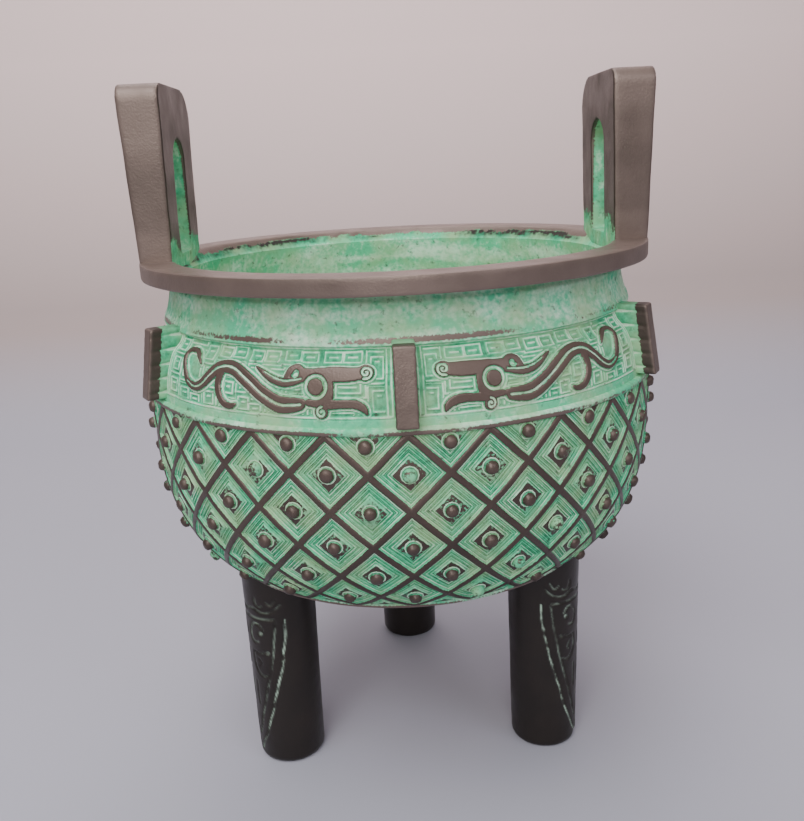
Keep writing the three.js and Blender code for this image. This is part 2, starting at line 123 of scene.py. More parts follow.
class DingLimbSizes(bpy.types.PropertyGroup):
    ear_width: length("Ear width", 47, "Width of an ear")
    ear_height: length("Ear height", 57.5, "Height of an ear above the rim")
    ear_thickness: length("Ear thickness", 11.5, "Thickness of an ear at its foot")
    ear_flare: length("Ear flare", 1.5, "How much each face of an ear leans out at its top")
    ear_right_drop: length("Right ear drop", 2, "How much lower the right ear is than the left one")
    ear_outer_face: length("Ear outer face", 86.8, "Distance of an ear's outer face from the middle")
    ear_corner: length("Ear corner", 12, "Radius of an ear's top corners")
    ear_front_corner: length("Ear front corner", 5, "Radius of an ear's top corner at the front")
    ear_sink: length("Ear sink", 4.4, "How far an ear runs down into the rim")
    window_width: length("Window width", 18, "Width of the opening through an ear")
    window_height: length("Window height", 40, "Height of the opening's top above the rim")
    window_sill: length("Window sill", 1.5, "Height of the opening's foot above the rim")
    window_corner: length("Window corner", 8.5, "Radius of the opening's top corners")
    leg_circle: length("Leg circle", 57, "Distance of a leg's axis from the middle")
    leg_foot_radius: length("Leg foot radius", 12.4, "Radius of a leg at its foot")
    leg_top_radius: length("Leg top radius", 13.6, "Radius of a leg at its top")
    leg_top: length("Leg top", 95, "Height that the leg's taper is drawn to")
    cut_depth: length("Cut depth", 0.55, "Depth of the lines cut in a leg")


class DingColours(bpy.types.PropertyGroup):
    brown: colour("Brown bronze", "#776760", "Bare bronze of the rim, ears and flanges")
    brown_worn: colour("Worn bronze", "#62524B", "Bare bronze of the dragons and the upper bosses")
    # Dark bronze is the real colour of stains and pits, and also the painted shade on bare metal where the
    # shade attribute is high
    brown_dark: colour("Dark bronze", "#413631", "Bare bronze where it is least rubbed")
    black: colour("Black bronze", "#2B2623", "Near-black patina of the legs")
    mint: colour("Mint patina", "#55C594", "Main colour of the patina")
    deep: colour("Deep patina", "#25855F", "Patina down in the grooves")
    pale: colour("Pale patina", "#D3EFD8", "Chalky patina on threads and edges")
    sage: colour("Sage patina", "#9FBF90", "Duller patina of the plain neck")
    # Backdrop, bend and floor are one paper, with painted light that makes it warmer and lighter up the back
    backdrop: colour("Backdrop", "#EED8D6", "Pale paper high behind the vessel")
    bend: colour("Bend", "#A99B9A", "Paper where the floor bends up")
    floor: colour("Floor", "#A7A7B4", "Paper under the vessel")


# Selecting and drawing


def open_mesh():
    """Goes into the active mesh with all of it selected."""
    bpy.ops.object.mode_set(mode="EDIT")
    bpy.ops.mesh.select_all(action="SELECT")


def close_mesh():
    bpy.ops.object.mode_set(mode="OBJECT")


def start_fresh():
    if bpy.context.mode != "OBJECT":
        close_mesh()
    bpy.ops.object.select_all(action="DESELECT")
    bpy.context.tool_settings.mesh_select_mode = (True, False, False)


def take_up(piece):
    """Makes a piece the only one that the next steps work on."""
    start_fresh()
    piece.select_set(True)
    bpy.context.view_layer.objects.active = piece


def copy_of(piece):
    twin = piece.copy()
    twin.data = piece.data.copy()
    bpy.context.collection.objects.link(twin)
    return twin


def draw_line(points, closed=False):
    """A new object that holds one line of edges, drawn by extruding a single corner."""
    start_fresh()
    points = [Vector(point) for point in points]
    bpy.ops.mesh.primitive_plane_add(size=1 * MM, location=(0, 0, 0))
    open_mesh()
    bpy.ops.mesh.merge(type="CENTER")
    bpy.ops.transform.translate(value=points[0])
    for start, end in zip(points, points[1:]):
        bpy.ops.mesh.extrude_vertices_move(TRANSFORM_OT_translate={"value": end - start})
    if closed:
        bpy.ops.mesh.select_all(action="SELECT")
        bpy.ops.mesh.remove_doubles(threshold=MERGE)
        select_vertices(lambda v: v.index in (0, len(points) - 1))
        bpy.ops.mesh.edge_face_add()
    close_mesh()
    return bpy.context.object


def select_vertices(test):
    """Selects vertices in edit mode by a test of each one."""
    bpy.ops.mesh.select_mode(type="VERT")
    bpy.ops.mesh.select_all(action="DESELECT")
    close_mesh()
    for vertex in bpy.context.object.data.vertices:
        vertex.select = bool(test(vertex))
    bpy.ops.object.mode_set(mode="EDIT")


def select_edges(test):
    """Selects edges in edit mode by a test of their two ends."""
    bpy.ops.mesh.select_mode(type="EDGE")
    bpy.ops.mesh.select_all(action="DESELECT")
    close_mesh()
    mesh = bpy.context.object.data
    for edge in mesh.edges:
        ends = [mesh.vertices[i].co for i in edge.vertices]
        edge.select = bool(test(*ends))
    bpy.ops.object.mode_set(mode="EDIT")


def tidy_mesh(piece, merge=MERGE):
    """Merges doubles and turns every face outwards."""
    take_up(piece)
    open_mesh()
    bpy.ops.mesh.remove_doubles(threshold=merge)
    bpy.ops.mesh.normals_make_consistent(inside=False)
    close_mesh()


def turned(section, steps):
    """A solid turned round the upright axis from a line of radius and height."""
    piece = draw_line([(radius, 0, height) for radius, height in section])
    open_mesh()
    bpy.ops.mesh.spin(steps=steps, angle=2 * math.pi, center=(0, 0, 0), axis=(0, 0, 1))
    close_mesh()
    tidy_mesh(piece)
    return piece


def finish_piece(piece, name, material, sharp=80):
    """Names a finished piece, shades it and ties it to the frame."""
    take_up(piece)
    bpy.ops.object.shade_smooth_by_angle(angle=math.radians(sharp))
    piece.name = name
    piece.data.name = name
    piece.data.materials.clear()
    piece.data.materials.append(material_named(material))
    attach(piece, BODY)
    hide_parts(NODE)


def vectors(data, key):
    flat = np.empty(len(data) * 3, np.float32)
    data.foreach_get(key, flat)
    return flat.reshape(-1, 3)


def places(mesh):
    return vectors(mesh.vertices, "co").astype(float)


def normals(mesh):
    return vectors(mesh.vertex_normals, "vector")


def move_to(mesh, where):
    mesh.vertices.foreach_set("co", np.asarray(where, np.float32).ravel())
    mesh.update()


def paint(mesh, **layers):
    """Stores values for each vertex under their names, for the materials to read."""
    for name, values in layers.items():
        layer = mesh.attributes.new(name, "FLOAT", "POINT")
        layer.data.foreach_set("value", np.asarray(values, np.float32))


def smooth_step(low, high, value):
    share = np.clip((value - low) / (high - low), 0, 1)
    return share * share * (3 - 2 * share)


def wander(where, size, seed):
    """Smooth noise from -1 to 1 at each place, with lumps of about the given size."""
    shift = Vector((seed * 7.13, seed * 3.71, seed * 5.37))
    return np.array([noise.noise(Vector(point) / size + shift) for point in where])


# The bowl's skin


def skin_line(sizes):
    """The skin as arrays of distance, radius, height and outward direction."""
    foot = sizes.rim_top - sizes.rim_thickness - sizes.neck_height
    belly = foot - sizes.shoulder_height
    turn = np.linspace(0, math.pi / 2, 400)
    swell = sizes.belly_radius - sizes.neck_foot_radius
    radius = [[sizes.neck_radius], sizes.neck_foot_radius + swell * np.sin(turn)]
    height = [[sizes.rim_top - sizes.rim_thickness], belly + sizes.shoulder_height * np.cos(turn)]
    turn = np.linspace(0, math.pi / 2, 1200)[1:]
    power = sizes.belly_fullness
    c = np.clip(np.cos(turn), 0, None)
    s = np.sin(turn)
    scale = (c**power + s**power) ** (1 / power)
    radius.append(sizes.belly_radius * c / scale)
    height.append(belly - sizes.belly_depth * s / scale)
    radius = np.concatenate(radius)
    height = np.concatenate(height)
    run = np.concatenate([[0], np.cumsum(np.hypot(np.diff(radius), np.diff(height)))])
    step = 0.2 * MM
    spread = 1.6 * MM / step
    distance = np.arange(0, run[-1] + step / 2, step)
    radius = soften(np.interp(distance, run, radius), spread)
    height = soften(np.interp(distance, run, height), spread)
    along_r = np.gradient(radius)
    along_z = np.gradient(height)
    size = np.hypot(along_r, along_z)
    return {
        "distance": distance,
        "radius": radius,
        "height": height,
        "out_r": -along_z / size,
        "out_z": along_r / size,
    }


def soften(values, spread):
    """A running average that rounds the corner where the neck meets the shoulder."""
    reach = int(spread * 3)
    weights = np.exp(-0.5 * (np.arange(-reach, reach + 1) / spread) ** 2)
    padded = np.pad(values, reach, mode="reflect", reflect_type="odd")
    return np.convolve(padded, weights / weights.sum(), mode="valid")


def skin_point(skin, distance, lift):
    """Radius and height of a place on the skin's section."""
    keys = ("radius", "height", "out_r", "out_z")
    radius, height, out_r, out_z = (np.interp(distance, skin["distance"], skin[key]) for key in keys)
    return radius + out_r * lift, height + out_z * lift


def on_bowl(skin, angle, distance, lift):
    radius, height = skin_point(skin, distance, lift)
    return np.stack([radius * np.sin(angle), -radius * np.cos(angle), height + 0 * angle], axis=-1)


# Materials


def add_node(tree, kind, inputs=None, output=0, **settings):
    """Adds a node, sets its properties, fills its sockets with values or links, and gives back an output."""
    node = tree.nodes.new(kind)
    for key, value in settings.items():
        setattr(node, key, value)
    for key, value in (inputs or {}).items():
        if isinstance(value, bpy.types.NodeSocket):
            tree.links.new(value, node.inputs[key])
        else:
            node.inputs[key].default_value = value
    return node.outputs[output] if node.outputs else None


def new_material(name):
    material = bpy.data.materials.new(name)
    material.use_nodes = True
    material.node_tree.nodes.clear()
    return material


def rgba(colour_value):
    return tuple(colour_value) + (1,)


def noise_fields(tree, where, fields):
    """Noises by name, each made from the size of its lumps in millimetres, its detail and roughness."""
    made = {}
    for key, (size, detail, roughness) in fields.items():
        inputs = {"Vector": where, "Scale": 1 / (size * MM), "Detail": detail, "Roughness": roughness}
        made[key] = add_node(tree, "ShaderNodeTexNoise", inputs)
    return made


def lay_over(tree, tone, layers):
    """Lays colours over a tone, each as its source rises between two levels, up to its greatest share."""
    for source, low, high, most, over in layers:
        share = {"Value": source, "From Min": low, "From Max": high, "To Max": most}
        share = add_node(tree, "ShaderNodeMapRange", share)
        tone = {0: share, 6: tone, 7: rgba(over)}
        tone = add_node(tree, "ShaderNodeMix", tone, output=2, data_type="RGBA")
    return tone


def close_material(material, surface, grain=None, strength=0, depth=0):
    """Ends a material in its surface, with casting grain where there is any."""
    tree = material.node_tree
    if grain:
        bump = {"Strength": strength, "Distance": depth, "Height": grain}
        surface["Normal"] = add_node(tree, "ShaderNodeBump", bump)
    shader = add_node(tree, "ShaderNodeBsdfPrincipled", surface)
    add_node(tree, "ShaderNodeOutputMaterial", {"Surface": shader})
    return material


def patinated_bronze(name, brown, colours, metallic):
    """Bronze cast in a mould and patinated: chalky green salts fill the hollows, and what stands
    proud is rubbed back to brown metal with a soft, broken sheen."""
    material = new_material(name)
    tree = material.node_tree
    where = add_node(tree, "ShaderNodeTexCoord", output="Object")
    painted = ("bare", "crest", "shade")
    bare, crest, shade = (
        add_node(tree, "ShaderNodeAttribute", output="Fac", attribute_name=key) for key in painted
    )
    fields = {
        "clouds": (11, 3, 0.5),
        "mottle": (1.5, 4, 0.5),
        "pits": (2.6, 5, 0.65),
        "stain": (16, 4, 0.5),
        "speck": (0.9, 4, 0.5),
        "grain": (0.7, 4, 0.5),
    }
    noises = noise_fields(tree, where, fields)

    # The salts: deep in the grooves, mint on the ground, pale on the threads, with clouds, soil and pits
    level = {"Value": noises["mottle"], "From Min": 0.3, "From Max": 0.7, "To Min": -0.18, "To Max": 0.18}
    level = add_node(tree, "ShaderNodeMapRange", level)
    level = add_node(tree, "ShaderNodeMath", {0: crest, 1: level}, operation="ADD")
    salts = (
        (level, -0.05, 0.4, 1, colours.mint),
        (level, 0.5, 0.9, 0.95, colours.pale),
        (noises["clouds"], 0.4, 0.7, 0.75, colours.sage),
        (level, -0.1, -0.4, 1, colours.black),
        (noises["pits"], 0.6, 0.7, 0.7, colours.brown_dark),
    )
    green = lay_over(tree, rgba(colours.deep), salts)

    # The rubbed metal, darker in stains and in painted shade where the shade attribute is high
    share = {"Value": noises["stain"], "From Min": 0.35, "From Max": 0.7, "To Max": 0.35}
    share = add_node(tree, "ShaderNodeMapRange", share)
    share = add_node(tree, "ShaderNodeMath", {0: share, 1: shade}, operation="ADD", use_clamp=True)
    metal = {0: share, 6: rgba(brown), 7: rgba(colours.brown_dark)}
    metal = add_node(tree, "ShaderNodeMix", metal, output=2, data_type="RGBA")

    # The broken edge between the two
    speck = {"Value": noises["speck"], "From Min": 0.25, "From Max": 0.75, "To Min": -0.28, "To Max": 0.28}
    speck = add_node(tree, "ShaderNodeMapRange", speck)
    edge = add_node(tree, "ShaderNodeMath", {0: bare, 1: speck}, operation="ADD")
    mask = add_node(tree, "ShaderNodeMapRange", {"Value": edge, "From Min": 0.4, "From Max": 0.56})
    colour_out = {0: mask, 6: green, 7: metal}
    colour_out = add_node(tree, "ShaderNodeMix", colour_out, output=2, data_type="RGBA")
    gloss = {"Value": noises["clouds"], "From Min": 0.3, "From Max": 0.7, "To Min": 0.36, "To Max": 0.52}
    gloss = add_node(tree, "ShaderNodeMapRange", gloss)
    roughness = add_node(tree, "ShaderNodeMix", {0: mask, 2: 0.86, 3: gloss}, data_type="FLOAT")
    shine = add_node(tree, "ShaderNodeMath", {0: mask, 1: metallic}, operation="MULTIPLY")
    surface = {"Base Color": colour_out, "Roughness": roughness, "Metallic": shine}
    return close_material(material, surface, noises["grain"], 0.35, 0.25 * MM)


def black_bronze(name, colours):
    """Cast bronze under a near-black patina and wax: dark, smooth and softly glossy, with
    pale salts left in the cut lines."""
    material = new_material(name)
    tree = material.node_tree
    where = add_node(tree, "ShaderNodeTexCoord", output="Object")
    salts = add_node(tree, "ShaderNodeAttribute", output="Fac", attribute_name="crest")
    fields = {"stain": (12, 4, 0.5), "broken": (4, 3, 0.5), "grain": (1.1, 4, 0.5)}
    noises = noise_fields(tree, where, fields)
    base = lay_over(tree, rgba(colours.black), [(noises["stain"], 0.4, 0.75, 0.2, colours.brown_dark)])
    broken = {"Value": noises["broken"], "From Min": 0.4, "From Max": 0.6, "To Min": 0.05}
    broken = add_node(tree, "ShaderNodeMapRange", broken)
    share = add_node(tree, "ShaderNodeMath", {0: salts, 1: broken}, operation="MULTIPLY", use_clamp=True)
    tone = {0: share, 6: base, 7: rgba(colours.pale)}
    tone = add_node(tree, "ShaderNodeMix", tone, output=2, data_type="RGBA")
    gloss = {"Value": noises["stain"], "From Min": 0.3, "From Max": 0.7, "To Min": 0.32, "To Max": 0.48}
    gloss = add_node(tree, "ShaderNodeMapRange", gloss)
    surface = {"Base Color": tone, "Roughness": gloss, "Metallic": 0.45}
    return close_material(material, surface, noises["grain"], 0.25, 0.2 * MM)


def paper_backdrop(name, colours):
    """Seamless paper roll: matt, pale, a cool grey on the floor, with painted light that turns it warmer and
    lighter up the back.
    """
    material = new_material(name)
    tree = material.node_tree
    where = add_node(tree, "ShaderNodeTexCoord", output="Object")
    level = add_node(tree, "ShaderNodeSeparateXYZ", {"Vector": where}, output="Z")
    # Painted light: the paper turns warmer and lighter from the bend up the back
    rise = ((level, 0, 60 * MM, 1, colours.bend), (level, 80 * MM, 340 * MM, 1, colours.backdrop))
    tone = lay_over(tree, rgba(colours.floor), rise)
    return close_material(material, {"Base Color": tone, "Roughness": 0.9})


def material_named(name):
    """Each finish is made once, when the first piece asks for it."""
    found = bpy.data.materials.get(name)
    if found:
        return found
    colours = bpy.context.scene.ding_colours
    if name == "Black waxed bronze":
        return black_bronze(name, colours)
    if name == "Seamless paper":
        return paper_backdrop(name, colours)
    if name == "Brown cast bronze":
        return patinated_bronze(name, colours.brown, colours, metallic=0.45)
    return patinated_bronze(name, colours.brown_worn, colours, metallic=0.4)


# Pieces


def bowl_section(sizes, skin):
    """The bowl's closed section from the middle of the inside round to the middle of the underside."""
    end = skin["distance"][-1]
    inside = [skin_point(skin, s, -sizes.wall) for s in np.arange(end, 1 * MM, -2.5 * MM)]
    inner = sizes.rim_radius - sizes.rim_flat
    top = sizes.rim_top
    under = top - sizes.rim_thickness
    lip_foot = (skin_point(skin, 0, -sizes.wall)[0], top - sizes.lip_drop)
    section = [(0, inside[0][1])] + inside[1:] + [lip_foot]
    slope = inner - lip_foot[0]
    section += [(lip_foot[0] + slope * t, lip_foot[1] + sizes.lip_drop * t) for t in (0.3, 0.6, 0.85)]
    section += [(inner + 0.1 * MM, top - 0.25 * MM), (inner + 0.7 * MM, top)]
    section += [(inner + width * MM, top) for width in (2, 4, 6, 8, 10)]
    outer = sizes.rim_radius
    section += [(outer - 0.6 * MM, top), (outer - 0.15 * MM, top - 0.18 * MM), (outer, top - 0.6 * MM)]
    section += [(outer, top - height * MM) for height in (1.8, 3.2, 4.6)]
    section += [(outer, under + 0.6 * MM), (outer - 0.18 * MM, under + 0.15 * MM), (outer - 0.6 * MM, under)]
    section += [(outer - inset * MM, under) for inset in (2.5, 5, 7.5)]
    neck = sizes.neck_radius
    section += [(neck + 1.2 * MM, under - 0.05 * MM), (neck + 0.4 * MM, under - 0.5 * MM)]
    section += [skin_point(skin, distance, lift) for distance, lift in outside_steps(sizes, end)]
    section.append((0, skin_point(skin, end, 0)[1]))
    return section


def field_top(sizes):
    """How far down the skin the lozenge field starts."""
    return sizes.neck_band + sizes.frieze_band + sizes.border_width


def outside_steps(sizes, end):
    """Distances down the outside of the bowl, with the lift at each."""
    sunk = -sizes.relief_depth - 1 * MM
    frieze = sizes.neck_band
    border = frieze + sizes.frieze_band
    field = field_top(sizes)
    foot = field + FIELD_ROWS * bpy.context.scene.ding_ornament.lozenge_half_height
    steps = [(1.4, 0), (2.4, 0.02), (2.9, 0.3), (3.6, 0.34), (4.2, 0.04), (5.5, -0.1), (7.5, -0.2)]
    steps += [(9.5, -0.2), (11.2, -0.1), (12.2, 0.02), (12.8, 0.3), (13.6, 0.36)]
    steps = [(distance * MM, lift * MM) for distance, lift in steps]
    ridge = sizes.border_lift
    steps += [(frieze - 0.3 * MM, ridge * 0.9), (frieze + 0.5 * MM, ridge * 0.9)]
    steps += [(frieze + 0.8 * MM, -0.2 * MM), (frieze + 0.9 * MM, sunk)]
    steps += [(distance, sunk) for distance in np.linspace(frieze + 3 * MM, border - 3 * MM, 8)]
    steps += [(border - 0.4 * MM, sunk), (border - 0.3 * MM, -0.6 * MM), (border, 0.1 * MM)]
    steps += [(border + 0.35 * MM, ridge), (border + sizes.border_width / 2, ridge + 0.05 * MM)]
    steps += [(field - 0.35 * MM, ridge), (field, 0.1 * MM), (field + 0.3 * MM, -0.6 * MM)]
    steps += [(field + 0.4 * MM, sunk)]
    steps += [(distance, sunk) for distance in np.linspace(field + 3 * MM, foot - 3 * MM, 22)]
    steps += [(foot - 0.4 * MM, sunk), (foot - 0.3 * MM, -0.6 * MM), (foot, 0.1 * MM)]
    steps += [(foot + 0.4 * MM, ridge), (foot + 1.5 * MM, ridge), (foot + 2 * MM, 0)]
    steps += [(distance, 0) for distance in np.arange(foot + 4 * MM, end - 2 * MM, 3 * MM)]
    return steps


class DING_OT_bowl(bpy.types.Operator):
    """Turns the bowl with its rim, neck, borders and hollow inside"""

    bl_idname = "ding.bowl"
    bl_label = "Bowl"

    def execute(self, context):
        sizes = context.scene.ding_bowl
        skin = skin_line(sizes)
        piece = turned(bowl_section(sizes, skin), steps=240)
        self.roughen(piece.data, sizes, skin)
        finish_piece(piece, "bowl", "Brown cast bronze", sharp=40)
        return {"FINISHED"}

    def roughen(self, mesh, sizes, skin):
        """Gives the turned surface its casting unevenness, and marks where it is bare."""
        where = places(mesh)
        radius = np.hypot(where[:, 0], where[:, 1])
        height = where[:, 2]
        normal = normals(mesh)
        inner_rim = sizes.rim_radius - sizes.rim_flat
        rim_foot = sizes.rim_top - sizes.rim_thickness
        underside = rim_foot - sizes.neck_height - sizes.shoulder_height - sizes.belly_depth
        outward = normal[:, 0] * where[:, 0] + normal[:, 1] * where[:, 1] > 0
        rim = (height > rim_foot - 0.3 * MM) & (radius > inner_rim - 0.2 * MM)
        inside = ~rim & (radius < inner_rim + 10 * MM) & (~outward | (normal[:, 2] > 0.5))
        inside &= height > underside + 3 * MM
        broad = wander(where, 16 * MM, 1)
        fine = wander(where, 4 * MM, 2)
        shift = np.where(inside, 0.45 * broad + 0.3 * fine, 0.08 * broad + 0.05 * fine)
        shift = np.where(rim, 0.1 * broad + 0.05 * fine, shift) * MM
        top = (height > sizes.rim_top - 0.1 * MM) & rim
        shift[top] = np.minimum(shift[top], 0)
        move_to(mesh, where + normal * shift[:, None])
        border = self.border_shares(sizes, skin, radius, height)
        low = height < rim_foot - sizes.neck_height - 10 * MM
        bare = border * (np.where(low, 0.72, 0.5) + 0.6 * wander(where, 18 * MM, 3))
        bare = np.maximum(bare, np.where(rim, 1.0, 0.0))
        edge = height - sizes.rim_top + (2.2 + 0.7 * broad + 0.4 * fine) * MM
        bare = np.where(inside, smooth_step(-0.1, 0.5, edge / MM), bare)
        soil = smooth_step(-1.9, -0.4, edge / MM) * smooth_step(0.5, 0, edge / MM) * (0.7 + fine)
        drift = wander(where * (1, 1, 6), 26 * MM, 4)
        lip_foot = sizes.rim_top - sizes.lip_drop
        # Painted shade: the patina on the lip slope just inside the rim is darker
        lip = smooth_step(lip_foot - 1 * MM, lip_foot + 1 * MM, height)
        within = 0.65 + 0.6 * drift + 0.2 * fine - 0.45 * lip - 0.9 * soil
        paint(mesh, bare=bare, crest=np.where(inside, within, 0.6 + 0.35 * drift + 0.1 * fine))

    def border_shares(self, sizes, skin, radius, height):
        """How much each vertex belongs to one of the raised border lines."""
        outer, level = skin_point(skin, skin["distance"], 0)
        nearest = np.interp(-height, -level, skin["distance"])
        lift = (radius - np.interp(nearest, skin["distance"], outer)) / MM
        near = np.zeros(len(radius))
        foot = field_top(sizes)
        for distance in (sizes.neck_band - 0.9 * MM, foot - 0.5 * MM):
            near = np.maximum(near, smooth_step(1.3 * MM, 0.7 * MM, np.abs(nearest - distance)))
        under = foot + FIELD_ROWS * bpy.context.scene.ding_ornament.lozenge_half_height
        return np.maximum(near * (lift > 0), smooth_step(under - 1 * MM, under - 0.4 * MM, nearest))


# The lozenge field

# The section of a lozenge from its ridge to its plateau: share of the way out, and lift in millimetres
LOZENGE_SECTION = (
    *((0.95, -0.02), (0.915, -0.08), (0.885, -0.25), (0.86, -0.55), (0.845, -1), (0.83, -0.9), (0.805, -0.9)),
    *((0.785, -1.4), (0.765, -1.2), (0.72, -1.2), (0.7, -1.4), (0.685, -0.95), (0.65, -0.95), (0.63, -1.4)),
    *((0.6, -1.2), (0.57, -1.4), (0.555, -0.95), (0.52, -0.95), (0.5, -1.4), (0.475, -1.25), (0.45, -0.7)),
    (0.41, -0.6),
)
# Where its grooves run, and its pale threads with their strengths
GROOVES = (0.7855, 0.7, 0.63, 0.57, 0.5)
PALE_THREADS = ((0.818, 0.55), (0.668, 0.2), (0.537, 0.32), (0.45, 0.3))

# The section of a boss: radius as a share of its own, and lift as a share of its own
BOSS_SECTION = ((1.28, -0.16), (1.12, -0.14), (1, -0.26), (0.96, 0.34), (0.74, 0.82), (0.38, 1))
BOSS_ROOT = -2.6 * MM


def lozenge_cell(half_width, half_height):
    """One flat lozenge: a rounded ridge round it, three fine threads inside it and a plateau."""
    start_fresh()
    bpy.ops.mesh.primitive_circle_add(vertices=4, radius=1, fill_type="NOTHING", location=(0, 0, 0))
    open_mesh()
    bpy.ops.transform.resize(value=(half_width, half_height, 1))
    bpy.ops.mesh.subdivide(number_cuts=3)
    share, level = 1, 0
    for next_share, next_level in LOZENGE_SECTION:
        rise = (0, 0, (next_level - level) * MM)
        bpy.ops.mesh.extrude_region_move(TRANSFORM_OT_translate={"value": rise})
        bpy.ops.transform.resize(value=(next_share / share, next_share / share, 1), center_override=(0, 0, 0))
        share, level = next_share, next_level
    bpy.ops.mesh.edge_face_add()
    close_mesh()
    return bpy.context.object


def repeat(piece, count, offset):
    """Copies a piece in a row and merges the copies where they meet."""
    array = piece.modifiers.new("Row", "ARRAY")
    array.count = count
    array.use_relative_offset = False
    array.use_constant_offset = True
    array.constant_offset_displace = offset
    array.use_merge_vertices = True
    array.merge_threshold = MERGE
    bpy.context.view_layer.objects.active = piece
    bpy.ops.object.modifier_apply(modifier=array.name)


def lozenge_strip(half_width, half_height):
    """The whole field laid out flat, with its edges turned in and its back closed."""
    piece = lozenge_cell(half_width, half_height)
    repeat(piece, 2, (half_width, -half_height, 0))
    repeat(piece, FIELD_ROWS // 2 + 1, (0, -2 * half_height, 0))
    foot = -FIELD_ROWS * half_height
    bpy.ops.object.mode_set(mode="EDIT")
    for level, direction in ((0, 1), (foot, -1)):
        bpy.ops.mesh.select_all(action="SELECT")
        bpy.ops.mesh.bisect(plane_co=(0, level, 0), plane_no=(0, direction, 0), clear_outer=True)
    close_mesh()
    repeat(piece, FIELD_COLUMNS, (2 * half_width, 0, 0))
    near = 0.02 * MM
    turned_in = -1.6 * MM
    bpy.ops.object.mode_set(mode="EDIT")
    for level, direction in ((0, 1), (foot, -1)):
        select_edges(lambda a, b: abs(a.y - level) < near and abs(b.y - level) < near)
        bpy.ops.mesh.extrude_region_move(TRANSFORM_OT_translate={"value": (0, direction * 0.8 * MM, 0)})
        bpy.ops.transform.resize(value=(1, 1, 0), center_override=(0, 0, turned_in))
        bpy.ops.mesh.extrude_region_move(TRANSFORM_OT_translate={"value": (0, 0, BACK - turned_in)})
    select_edges(lambda a, b: abs(a.z - BACK) < near and abs(b.z - BACK) < near)
    bpy.ops.mesh.bridge_edge_loops(number_cuts=9, interpolation="LINEAR")
    close_mesh()
    return piece


def way_out(x, y, half_width, half_height):
    """How far each flat place is from the middle of its lozenge, 1 on the ridge."""
    across, down = x / half_width, y / half_height
    first = (across + down) / 2
    second = (across - down) / 2
    return 2 * np.maximum(np.abs(first - np.round(first)), np.abs(second - np.round(second)))


